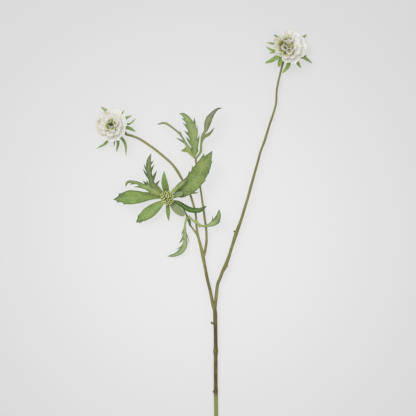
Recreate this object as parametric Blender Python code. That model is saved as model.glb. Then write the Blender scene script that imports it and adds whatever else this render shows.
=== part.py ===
"""A cut scabiosa spray lying on a surface, in metres, +Z up.

One branching stem carries two open white flower heads, one green bud head in a rosette of leaves,
a tuft of leaves at the top of a thin shoot, and a pair of leaves below the bud.
+Y runs from the cut end to the flowers, and the surface that the spray lies on is at z = 0.
"""

import math
import random

import bmesh
import bpy
import numpy as np
from mathutils import Matrix, Vector
from mathutils.geometry import delaunay_2d_cdt

MM = 0.001

# Driving dimensions, in millimetres
SURFACE_GAP = 0.3
LEAF_THICKNESS = 0.8
PETAL_THICKNESS = 0.7
BRACT_THICKNESS = 0.7
HEAD_CORE_RADIUS = 7.0
HEAD_CORE_TOP = 13.0
CUP_TOP_RADIUS = 7.2
CUP_HEIGHT = 4.2
BUD_RADIUS = 9.2
BUD_HEIGHT = 8.6
STEM_SPACING = 10.0

# The stem: each shoot is a list of (x, y, z, radius) that the middle of the stalk passes through
MAIN_SHOOT = [
    (17, -263, 2.4, 2.65), (17, -245, 2.4, 2.65), (16.8, -222, 2.5, 2.6), (16.6, -206, 2.8, 2.75),
    (16.4, -190, 3.2, 2.5), (16.4, -172, 3.8, 2.55), (16.4, -158, 4.3, 2.5), (16.4, -152, 4.6, 3.3),
    (16.4, -146, 4.9, 2.6), (16.2, -126, 5.4, 2.4), (15.9, -114, 5.8, 2.7), (15.4, -100, 6.2, 2.7),
    (13, -92, 6.4, 2.2), (9.4, -74, 6.8, 2.0), (5.7, -59, 7.1, 2.0), (2.5, -42.5, 7.4, 2.0),
    (-0.2, -28.6, 7.5, 2.3), (-3.4, -14.3, 7.5, 1.85), (-6.6, -2.3, 7.4, 1.65), (-8.5, 10.4, 7.1, 1.45),
    (-9.6, 26, 6.8, 1.4), (-13.9, 42.9, 6.5, 1.4), (-18.9, 57.2, 6.3, 1.4), (-26.4, 69.4, 6.1, 1.5),
    (-33, 81, 6, 1.75), (-40.4, 91, 6, 1.5), (-50.4, 100.1, 6, 1.5), (-62.9, 110.2, 5.8, 1.5),
    (-80.1, 122, 5.4, 1.5), (-90.9, 126.9, 4.9, 1.5), (-99.5, 129.4, 4.3, 1.5),
    (-106.3, 133.8, 4.1, 1.5), (-110.6, 137, 5.4, 1.5), (-112.6, 138.4, 8.4, 1.4),
    (-113.1, 138.7, 9.9, 1.4),
]
RIGHT_SHOOT = [
    (15.6, -104, 6, 1.7), (15.8, -93, 6.2, 2.1), (17.3, -79.3, 6.7, 2.1), (18.9, -65.3, 7.1, 2.1),
    (22.1, -57.1, 7.3, 2.1), (25.5, -48.1, 7.5, 2.15), (28.5, -42.5, 7.6, 2.6), (33, -30.6, 7.8, 2.1),
    (37.6, -16, 8, 2.0), (43, 1, 8.1, 2.4), (49.5, 18.7, 8.2, 1.85), (53.4, 31.7, 8.2, 1.8),
    (58.4, 48, 8.2, 1.75), (62.5, 63.4, 8.1, 1.75), (70.3, 91, 7.8, 1.5), (74.6, 107.1, 7.6, 1.45),
    (80.2, 121.9, 7.3, 1.6), (86.2, 141.7, 6.9, 1.4), (89, 149.6, 6.8, 1.5), (92.6, 161.2, 6.5, 1.35),
    (94.8, 170.4, 6.2, 1.35), (95.6, 184.5, 5.7, 1.3), (97.1, 194.9, 5.2, 1.3),
    (100.4, 208.8, 4.5, 1.3), (103, 219.2, 3.9, 1.35), (106.6, 229.4, 3.6, 1.4), (108.8, 235.4, 4.4, 1.5),
    (109.4, 237.2, 7.2, 1.4), (109.6, 237.8, 8.7, 1.4),
]
LEAFY_SHOOT = [
    (-0.2, -33, 7.4, 1.5), (2.4, -22.5, 7.6, 1.75), (4.4, -10.5, 7.7, 1.6), (4.5, -1.4, 7.7, 1.5),
    (3.9, 7.8, 7.6, 1.45), (2.1, 20.5, 7.5, 1.45), (0.7, 32.4, 7.4, 1.4), (-1.2, 44.2, 7.3, 1.35),
    (-2.3, 52.8, 7.3, 1.2), (-5.2, 70.2, 7.4, 1.2), (-8.6, 90, 7.8, 1.2), (-9.8, 99.5, 8.4, 1.5),
]
BUD_SHOOT = [
    (-4.9, -8.5, 7.4, 1.0), (-6.9, -3.3, 7.6, 1.2), (-9.5, 1.6, 7.8, 1.15), (-13.3, 7, 8, 1.15),
    (-16.3, 11.3, 8.2, 1.1), (-18.7, 16.1, 8.4, 1.1), (-20.8, 23.1, 8.5, 1.5), (-23, 28, 8.4, 1),
    (-26.6, 34.5, 8, 0.95), (-32.5, 40, 7.6, 0.95), (-39.5, 44, 8, 1), (-44.4, 46, 10.4, 1.1),
    (-46, 46.7, 13.6, 1.2), (-46.2, 46.8, 16.2, 1.1),
]
# Stubs left by fallen leaves: foot, direction, length, radius
STUBS = [
    ((15, -117, 5.8), (-0.9, 0.45, 0.1), 5.4, 1.3),
    ((16.4, -206, 2.9), (-0.9, 0.5, 0.2), 3.9, 1.4),
    ((28.5, -42.5, 7.6), (0.9, 0.35, 0.1), 4.0, 1.2),
    ((43, 2, 8.1), (-0.85, 0.5, 0.15), 3.6, 1.3),
    ((16.4, -151, 4.7), (0.4, 0.5, 0.8), 3.9, 1.3),
]

# The open heads: foot of the receptacle, lean from upright and its direction.
# Bracts round the florets: x, y, z of the tip, half width, sideways bow, how blunt the tip is
# Florets, outermost first: x, y of the tip seen from above, its height along the head's axis, half
# width, cupping, curl towards the axis, whorl from 0 (inner) to 2 (outer)
HEADS = {
    "left": dict(
        foot=(-112.8, 138.5, 8.8), lean=26, toward=150, seed=11,
        bracts=[(-132.7, 165.4, 0.4, 2.7, -3, 0.4), (-102.3, 160.6, 9, 1.6, 0, 0.5),
                (-92.2, 153.4, 11.5, 2.2, 1, 0.6), (-86.6, 149.8, 14, 1.5, -4, 0.3),
                (-87, 132.8, 12.5, 2.6, 2, 0.4), (-97.6, 130.6, 10, 1.5, 0, 0.2),
                (-99.5, 101.5, 8, 2.1, 5, 0.2), (-112.6, 106.4, 6, 2.6, 4, 0.2),
                (-115.4, 114, 5, 1.7, 1, 0.2), (-138.2, 111, 2.5, 2.6, 5, 0.1),
                (-133, 146, 0.3, 1.9, 0, 0.2), (-120, 158, 2, 1.7, 0, 0.2)],
        florets=[(-139.8, 143, 9.5, 7.7, 2, 3, 2), (-136.5, 130, 9, 7.4, 2, 3, 2),
                 (-129.3, 121.5, 9.5, 7.6, 2, 3, 2), (-118.3, 118.3, 9, 7.7, 2, 3, 2),
                 (-108.5, 121.5, 9.5, 7.4, 2, 3, 2), (-100.8, 130, 9, 7.6, 2, 3, 2),
                 (-98.2, 141.7, 9.5, 7.7, 2, 3, 2), (-101.4, 153.4, 9, 7.6, 2, 3, 2),
                 (-109.9, 161.2, 9.5, 7.7, 2, 3, 2), (-122.2, 161.8, 9, 7.6, 2, 3, 2),
                 (-133.2, 156, 9.5, 7.7, 2, 3, 2), (-133.9, 139.8, 15, 6.6, 2.8, 2.5, 1),
                 (-129.3, 130, 14.5, 6.6, 2.8, 2.5, 1), (-119, 125.5, 15, 6.8, 2.8, 2.5, 1),
                 (-108.5, 129.3, 14.5, 6.4, 2.8, 2.5, 1), (-104.7, 140.4, 15, 6.6, 2.8, 2.5, 1),
                 (-108.5, 151.5, 14.5, 6.8, 2.8, 2.5, 1), (-120.2, 155.3, 15, 6.6, 2.8, 2.5, 1),
                 (-130.7, 150.2, 14.5, 6.6, 2.8, 2.5, 1), (-124.8, 150.8, 17.5, 5.1, 3.6, 1.5, 0),
                 (-128.7, 135.2, 17.5, 5.1, 3.6, 1.5, 0), (-115, 132, 17.5, 5.1, 3.6, 1.5, 0),
                 (-109.2, 146.2, 17.5, 5.1, 3.6, 1.5, 0)],
    ),
    "right": dict(
        foot=(109.5, 237.5, 7.7), lean=24, toward=70, seed=29,
        bracts=[(92, 259.2, 2.5, 2.3, -1, 0.6), (82.2, 248.4, 6.5, 2.1, -1, 0.3),
                (81.4, 243.0, 9, 2.2, 4, 0.3), (85.4, 234.0, 11, 1.8, 0, 0.6),
                (80.6, 221.4, 10, 3.0, 2, 1), (98.3, 216.2, 12, 3.1, -2, 1),
                (102.8, 208.4, 10, 2.8, 5, 0.8), (126.8, 214.8, 11, 3.2, 0, 0.4),
                (141.4, 221.4, 9, 3.3, 1, 0.3), (134.9, 230.6, 8, 1.9, 0, 0.4),
                (134.9, 259.2, 1.5, 2.8, 0, 0.4), (118, 259.5, 0.3, 1.9, 0, 0.2),
                (104, 258.5, 0.3, 1.8, 0, 0.2)],
        florets=[(90.4, 241.8, 9.5, 7, 2.2, 3, 2), (91.7, 252.2, 9, 7, 2.2, 3, 2),
                 (100.1, 261.9, 9.5, 7, 2.2, 3, 2), (111.2, 264.6, 10, 7.2, 2.2, 3, 2),
                 (122.2, 261.9, 9.5, 7.2, 2, 3, 2), (130.7, 254.2, 9, 7, 2, 3, 2),
                 (134.6, 243.1, 9.5, 7.2, 2, 3, 2), (131.3, 231.4, 9, 7, 2, 3, 2),
                 (119.6, 220, 9, 7.4, 2, 3, 2), (107.2, 220.7, 9, 7.2, 2, 3, 2),
                 (94.2, 231.4, 9, 6.8, 2, 3, 2), (105.3, 259.4, 15, 5.6, 3.2, 2, 1),
                 (114.4, 259.4, 15, 5.6, 3.2, 2, 1), (124.2, 253.5, 14.5, 6.3, 2.6, 2.5, 1),
                 (127.4, 243.1, 15, 6.3, 2.6, 2.5, 1), (124.2, 232.7, 14.5, 6.3, 2.6, 2.5, 1),
                 (115, 226.2, 15, 6, 3, 2, 1), (104.7, 226.2, 14.5, 5.8, 3, 2, 1),
                 (94.2, 234.7, 15, 5.8, 3, 2, 1), (93.6, 247.7, 15, 5.8, 3, 2, 1),
                 (101.4, 237.9, 17.5, 5.1, 3.6, 1.5, 0), (111.2, 230.8, 17.5, 4.9, 3.6, 1.5, 0),
                 (120.2, 239.8, 17.5, 5.1, 3.4, 1.5, 0), (109.9, 248.3, 17, 3.3, 2.6, 1, 0)],
    ),
}
# Radius and height of a floret's root on the receptacle, for the inner, middle and outer whorl
FLORET_ROOTS = ((2.9, 10.0), (4.4, 9.0), (5.4, 6.6))
FLORET_STEPS = (3, 4)
EYE_RADIUS = 2.3
EYE_KNOBS = 6

# The bud head: foot of its receptacle, and its own smooth bracts, given as the heads' bracts are
BUD_FOOT = (-46.2, 46.8, 15.2)
BUD_BRACTS = [(-50.2, 81.2, 22.5, 5.0, 1, 0.1), (-44.4, 16.8, 12, 3.0, 0, 0.2),
              (-24, 23.6, 14.2, 5.4, -1, 0.9), (-25.8, 53.2, 24.5, 3.6, 0, 1)]
BUD_KNOBS = 46
KNOB_SIDES = 4


def smoothed(points, spacing):
    """Points of a Catmull-Rom curve through the given rows, one about every spacing."""
    rows = np.array(points, float)
    padded = np.vstack([2 * rows[0] - rows[1], rows, 2 * rows[-1] - rows[-2]])
    found = []
    for a, b, c, d in zip(padded, padded[1:], padded[2:], padded[3:]):
        steps = max(1, round(float(np.linalg.norm((c - b)[:3])) / spacing))
        for step in range(steps):
            t = step / steps
            found.append(
                0.5 * (2 * b + (c - a) * t + (2 * a - 5 * b + 4 * c - d) * t**2)
                + 0.5 * (3 * b - a - 3 * c + d) * t**3
            )
    return np.array(found + [rows[-1]])


def mesh_object(name, points, faces, material=None):
    """A mesh object from points in millimetres."""
    mesh = bpy.data.meshes.new(name)
    mesh.from_pydata([tuple(MM * float(x) for x in p) for p in points], [], [tuple(f) for f in faces])
    mesh.validate()
    made = bpy.data.objects.new(name, mesh)
    bpy.context.scene.collection.objects.link(made)
    if material:
        mesh.materials.append(material)
    return made


def joined(name, pieces, material):
    """The pieces fused into one closed body by a Boolean union."""
    group = bpy.data.collections.new(name + "_pieces")
    bpy.context.scene.collection.children.link(group)
    body, others = pieces[0], pieces[1:]
    for other in others:
        bpy.context.scene.collection.objects.unlink(other)
        group.objects.link(other)
    union = body.modifiers.new("union", "BOOLEAN")
    union.operation = "UNION"
    union.operand_type = "COLLECTION"
    union.collection = group
    union.solver = "MANIFOLD"
    apply_modifiers(body)
    keep_largest_body(body)
    for other in others:
        bpy.data.objects.remove(other)
    bpy.data.collections.remove(group)
    body.name = body.data.name = name
    body.data.materials.clear()
    body.data.materials.append(material)
    return body


def cut_clear(body, cutters):
    """Takes the cutters out of the body, then drops any scrap that the cut leaves loose."""
    for cutter in cutters:
        cut = body.modifiers.new("clearance", "BOOLEAN")
        cut.operation = "DIFFERENCE"
        cut.object = cutter
        cut.solver = "MANIFOLD"
    apply_modifiers(body)
    keep_largest_body(body)


def apply_modifiers(body):
    graph = bpy.context.evaluated_depsgraph_get()
    mesh = bpy.data.meshes.new_from_object(body.evaluated_get(graph))
    body.modifiers.clear()
    body.data = mesh


def keep_largest_body(body):
    """Leaves only the connected piece with the most volume."""
    work = bmesh.new()
    work.from_mesh(body.data)
    unseen, shells = set(work.verts), []
    while unseen:
        shell, edge_of = set(), [unseen.pop()]
        while edge_of:
            vert = edge_of.pop()
            shell.add(vert)
            near = {e.other_vert(vert) for e in vert.link_edges} & unseen
            unseen -= near
            edge_of += near
        shells.append(shell)
    reach = [max(v.co.length for v in s) - min(v.co.length for v in s) + len(s) for s in shells]
    loose = [v for s, r in zip(shells, reach) if r < max(reach) for v in s]
    bmesh.ops.delete(work, geom=loose, context="VERTS")
    bmesh.ops.dissolve_degenerate(work, dist=0.001 * MM, edges=work.edges)
    work.to_mesh(body.data)
    work.free()


def tube_faces(rings, sides):
    faces = [
        (
            r * sides + k,
            r * sides + (k + 1) % sides,
            (r + 1) * sides + (k + 1) % sides,
            (r + 1) * sides + k,
        )
        for r in range(rings - 1)
        for k in range(sides)
    ]
    first = tuple(reversed(range(sides)))
    last = tuple(range((rings - 1) * sides, rings * sides))
    return faces + [first, last]


def stalk(name, route, sides, swell=0.0):
    """A stalk along (x, y, z, radius) rows. Where it dips under the surface it is flattened onto it."""
    rows = smoothed(route, STEM_SPACING)
    for end, inner in ((0, 1), (-1, -2)):
        outward = rows[end, :3] - rows[inner, :3]
        rows[end, :3] += outward / np.linalg.norm(outward) * swell
    points, side = [], Vector((1, 0, 0))
    for i, row in enumerate(rows):
        ahead, behind = rows[min(i + 1, len(rows) - 1)], rows[max(i - 1, 0)]
        along = Vector((ahead - behind)[:3]).normalized()
        side = (side - along * side.dot(along)).normalized()
        up = along.cross(side)
        for k in range(sides):
            turn = 2 * math.pi * (k + 0.5) / sides + math.pi / 2
            p = Vector(row[:3]) + (side * math.cos(turn) + up * math.sin(turn)) * (row[3] + swell)
            p.z = max(p.z, -swell)
            points.append(p)
    return mesh_object(name, points, tube_faces(len(rows), sides))


def stub(name, foot, direction, length, radius, sides=6):
    """A short blunt peg where a leaf has dropped off."""
    along = Vector(direction).normalized()
    side = along.orthogonal().normalized()
    up = along.cross(side)
    rings = [(0, radius), (length * 0.8, radius * 0.8), (length, radius * 0.95)]
    points = []
    for reach, r in rings:
        for k in range(sides):
            turn = 2 * math.pi * k / sides
            points.append(Vector(foot) + along * reach + (side * math.cos(turn) + up * math.sin(turn)) * r)
    return mesh_object(name, points, tube_faces(len(rings), sides))


def turned(name, profile, frame, sides):
    """A solid of revolution from (radius, height) rows, lowest first, in the given frame."""
    points = []
    for radius, height in profile:
        for k in range(sides):
            turn = 2 * math.pi * k / sides
            points.append(frame @ Vector((radius * math.cos(turn), radius * math.sin(turn), height)))
    return mesh_object(name, points, tube_faces(len(profile), sides))


def blade_solid(name, sheet, normals, faces, thickness, floor=None):
    """A thin closed body round a triangulated sheet, raised off the floor if one is given."""
    half = [Vector(n) * (thickness / 2) for n in normals]
    count = len(sheet)
    points = [p + h for p, h in zip(sheet, half)] + [p - h for p, h in zip(sheet, half)]
    if floor is not None:
        for i in range(count):
            points[count + i].z = max(points[count + i].z, floor)
            points[i].z = max(points[i].z, floor)
            if (points[i] - points[count + i]).length < thickness * 0.9:
                high, low = (i, count + i) if normals[i].z > 0 else (count + i, i)
                points[high] = points[low] + Vector((0, 0, thickness))
    solid = [tuple(f) for f in faces] + [tuple(i + count for i in reversed(f)) for f in faces]
    edges = {}
    for a, b, c in faces:
        for e in ((a, b), (b, c), (c, a)):
            edges[e] = True
    for a, b in edges:
        if (b, a) not in edges:
            solid += [(b, a, a + count), (b, a + count, b + count)]
    return mesh_object(name, points, solid)


def grid_faces(rows, columns):
    """Triangles of a grid of points, its diagonals mirrored about the middle."""
    faces = []
    for r in range(rows - 1):
        for c in range(columns - 1):
            a, b = r * columns + c, r * columns + c + 1
            d, e = a + columns, b + columns
            faces += [(a, b, e), (a, e, d)] if c < (columns - 1) / 2 else [(a, b, d), (b, e, d)]
    return faces


def grid_normals(points, rows, columns):
    found = []
    for r in range(rows):
        for c in range(columns):
            ahead = points[min(r + 1, rows - 1) * columns + c] - points[max(r - 1, 0) * columns + c]
            across = points[r * columns + min(c + 1, columns - 1)] - points[r * columns + max(c - 1, 0)]
            found.append(across.cross(ahead).normalized())
    return found


def seen_at(frame, x, y, height):
    """Point in a head's own frame, at a height along its axis, that lies at x, y when seen from above."""
    turn, root = frame.to_3x3(), frame.translation
    right, ahead = x - root.x - turn[0][2] * height, y - root.y - turn[1][2] * height
    scale = turn[0][0] * turn[1][1] - turn[0][1] * turn[1][0]
    across = (turn[1][1] * right - turn[0][1] * ahead) / scale
    return Vector((across, (turn[0][0] * ahead - turn[1][0] * right) / scale, height))


def floret_axes(frame, spec, roll):
    """Root, length and the three directions of a floret, from its row in the table."""
    tip = seen_at(frame, *spec[:3])
    radius, height = FLORET_ROOTS[spec[6]]
    root = Vector((tip.x, tip.y, 0)).normalized() * radius + Vector((0, 0, height))
    along = (tip - root).normalized()
    inward = (Vector((0, 0, 1)) - along * along.z).normalized()
    side = Matrix.Rotation(roll, 3, along) @ along.cross(inward)
    return root, (tip - root).length, along, side, side.cross(along)


def floret_form(u, v, length, spec, phase):
    """How far along, across and inwards a point of a floret lies: a cupped petal on a narrow foot."""
    half_width, cup, curl = spec[3:6]
    wide = half_width * (0.28 + 0.72 * math.sin(math.pi * 0.5 * min(1, 1.3 * u)) ** 1.2) * (1 - 0.1 * u**4)
    reach = length * u * (1 - 0.24 * u * v * v + 0.025 * u * math.cos(3 * math.pi * v))
    cupping = cup * v * v * (1 - 0.35 * u) + curl * (u * u - u)
    return reach, wide * v, cupping + 0.4 * u * u * math.sin(2.5 * math.pi * v + phase)


def floret(name, frame, spec, draw, thickness):
    """One ray floret: a petal that reaches from the receptacle to its tip in the table."""
    rows, columns = FLORET_STEPS[0] + 1, FLORET_STEPS[1] + 1
    root, length, along, side, inward = floret_axes(frame, spec, math.radians(draw.uniform(4, 12)))
    phase = draw.uniform(0, math.tau)
    sheet = []
    for r in range(rows):
        for c in range(columns):
            v = 2 * c / (columns - 1) - 1
            reach, across, lift = floret_form(r / (rows - 1), v, length, spec, phase)
            sheet.append(frame @ (root + along * reach + side * across + inward * lift))
    normals = grid_normals(sheet, rows, columns)
    return blade_solid(name, sheet, normals, grid_faces(rows, columns), thickness, floor=0.0)


def bract_width(u, blunt):
    """Share of the bract's half width at a share of its length."""
    foot = 0.58 + 0.42 * min(1, u / 0.45)
    return foot * max(0.08, (1 - u ** (2.5 + 2.5 * blunt)) ** (1 - 0.45 * blunt))


def bract_route(local, tip, bow, foot=(4.2, 2.0), rim=(8.5, 2.7)):
    """Middle line of a bract: out of the cup under the florets' edge, then bowed sideways to its tip."""
    root = Vector(local.translation)
    out = (local.to_3x3().inverted() @ (Vector(tip) - root)) * Vector((1, 1, 0))
    out.normalize()
    first, second = (local @ (out * reach + Vector((0, 0, height))) for reach, height in (foot, rim))
    span = Vector(tip) - second
    left = Vector((-span.y, span.x, 0)).normalized()
    middle = second + span * 0.5 + left * bow + Vector((0, 0, 0.05 * span.length))
    return [tuple(first), tuple(second), tuple(middle), tuple(tip)]


def bract_sheet(route, half_width, blunt, up, fold, rows, columns):
    """Grid of points for a bract, folded a little along its rib."""
    line = smoothed(route, 0.5)
    reach = np.concatenate([[0], np.cumsum(np.linalg.norm(np.diff(line, axis=0), axis=1))])
    sheet = []
    for r in range(rows):
        u = r / (rows - 1)
        at, back, ahead = (
            Vector([np.interp(reach[-1] * share, reach, line[:, k]) for k in range(3)])
            for share in (u, max(0, u - 0.03), min(1, u + 0.03))
        )
        along = (ahead - back).normalized()
        side = along.cross(up).normalized()
        over = side.cross(along)
        wide = half_width * bract_width(u, blunt)
        for c in range(columns):
            v = 2 * c / (columns - 1) - 1
            sheet.append(at + side * (wide * v) + over * (fold * wide * abs(v)))
    return sheet


def bract(local, spec, thickness, swell=0.0, fold=0.22, steps=4, **places):
    """A smooth bract whose tip is at the given place."""
    x, y, z, half_width, bow, blunt = spec
    route = bract_route(local, (x, y, z), bow, **places)
    up = local.to_3x3() @ Vector((0, 0, 1))
    sheet = bract_sheet(route, half_width + swell, blunt, up, fold, steps + 1, 3)
    normals = grid_normals(sheet, steps + 1, 3)
    return blade_solid("bract", sheet, normals, grid_faces(steps + 1, 3), thickness + 2 * swell, floor=0.0)


def head_frame(foot, lean, toward):
    """Local frame of a head: its origin at the receptacle's foot and +Z along the head's axis."""
    turn = math.radians(toward)
    axis = Matrix.Rotation(math.radians(lean), 4, (-math.sin(turn), math.cos(turn), 0))
    return Matrix.Translation(foot) @ axis


def knob(name, frame, at, direction, length, radius, sides=KNOB_SIDES):
    """A closed floret bud: a short peg with a wider, blunt end."""
    side = direction.orthogonal().normalized()
    up = direction.cross(side)
    rings = [(-1.2, radius * 0.7), (length * 0.7, radius), (length, radius * 0.55)]
    points = []
    for reach, r in rings:
        for k in range(sides):
            turn = 2 * math.pi * k / sides
            spoke = side * math.cos(turn) + up * math.sin(turn)
            points.append(frame @ (at + direction * reach + spoke * r))
    return mesh_object(name, points, tube_faces(len(rings), sides))


def dome_spots(count, start=0.0, stop=1.0):
    """Directions spread evenly over a cap of the upper half sphere, by the golden angle."""
    golden = math.pi * (3 - math.sqrt(5))
    found = []
    for i in range(count):
        height = 1 - (start + (stop - start) * (i + 0.5) / count)
        ring = math.sqrt(1 - height * height)
        found.append(Vector((ring * math.cos(golden * i), ring * math.sin(golden * i), height)))
    return found


def build_head(side, spec, green, white, pale):
    """An open head: a green cup with its bracts, the white florets on their core, and the eye."""
    frame = head_frame(spec["foot"], spec["lean"], spec["toward"])
    prefix = f"flower_{side}"
    draw = random.Random(spec["seed"])
    cup_profile = [(2.4, 0), (3.8, 0.9), (5.9, 2.2), (CUP_TOP_RADIUS, CUP_HEIGHT)]
    green_pieces = [turned("cup", cup_profile, frame, 14)]
    green_pieces += [bract(frame, row, BRACT_THICKNESS) for row in spec["bracts"]]
    involucre = joined(f"{prefix}_involucre", green_pieces, green)

    core_foot = CUP_HEIGHT + SURFACE_GAP
    core_profile = [(HEAD_CORE_RADIUS * 0.95, core_foot), (HEAD_CORE_RADIUS, core_foot + 2.5),
                    (HEAD_CORE_RADIUS * 0.8, core_foot + 5.5), (3.0, HEAD_CORE_TOP - 0.8),
                    (1.2, HEAD_CORE_TOP - 0.3)]
    petals = [turned("core", core_profile, frame, 12)]
    for row in spec["florets"]:
        petals.append(floret("floret", frame, row, draw, PETAL_THICKNESS))
    florets = joined(f"{prefix}_florets", petals, white)

    eye_foot = HEAD_CORE_TOP - 0.3 + SURFACE_GAP
    eye_profile = [(1.5, eye_foot), (EYE_RADIUS, eye_foot + 1), (1.2, eye_foot + 2)]
    eye_pieces = [turned("eye", eye_profile, frame, 10)]
    for direction in dome_spots(EYE_KNOBS, 0.1, 0.75):
        at = Vector((0, 0, eye_foot + 0.7)) + direction * 1.1
        eye_pieces.append(knob("eye_knob", frame, at, direction, 1.3, 0.75))
    eye = joined(f"{prefix}_eye", eye_pieces, pale)
    hull_radius = EYE_RADIUS + SURFACE_GAP + 0.9
    room = turned("eye_room", [(2.2, eye_foot - SURFACE_GAP), (hull_radius, eye_foot + 0.6),
                               (hull_radius, eye_foot + 2.6), (1.6, eye_foot + 4.2)], frame, 12)
    cut_clear(florets, [room])
    bpy.data.objects.remove(room)
    return involucre, florets, eye


def build_bud(green, pale):
    """The bud head over its ring of smooth bracts, and a fatter copy that cuts the leaves."""
    frame = Matrix.Translation(BUD_FOOT)
    involucres = []
    for swell in (0.0, SURFACE_GAP):
        cup = [(2.2 + swell, -swell), (4.5 + swell, 0.6 - swell),
               (6.5 + swell, 1.7), (6.5 + swell, 2.4 + swell)]
        pieces = [turned("cup", cup, frame, 12)]
        for row in BUD_BRACTS:
            places = dict(foot=(4.0, 1.4), rim=(7.5, 1.5))
            pieces.append(bract(frame, row, BRACT_THICKNESS, swell, fold=0.1, **places))
        if swell:
            dome = [(7.2, 2.5), (10.1, 4.0), (10.3, 6), (9.2, 9.5), (4, 13)]
            pieces.append(turned("dome", dome, frame, 18))
        involucres.append(joined("bud_involucre" if not swell else "bud_room", pieces, green))
    foot = 2.4 + SURFACE_GAP
    dome = [(BUD_RADIUS * 0.72, foot)]
    for step in range(1, 6):
        turn = math.pi / 2 * step / 6
        dome.append((BUD_RADIUS * 0.86 * math.cos(turn), foot + BUD_HEIGHT * 0.86 * math.sin(turn)))
    pieces = [turned("dome", dome, frame, 14)]
    draw = random.Random(5)
    centre = Vector((0, 0, foot))
    for direction in dome_spots(BUD_KNOBS, 0.0, 0.84):
        reach = direction * (0.84 * BUD_RADIUS)
        reach.z = direction.z * 0.84 * BUD_HEIGHT
        sway = Vector((draw.uniform(-0.25, 0.25), draw.uniform(-0.25, 0.25), 0.1))
        lean = (direction + sway).normalized()
        length, radius = 1.9 * draw.uniform(0.8, 1.2), 1.05 * draw.uniform(0.85, 1.15)
        pieces.append(knob("knob", frame, centre + reach, lean, length, radius))
    return involucres, joined("bud_florets", pieces, pale)


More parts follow.
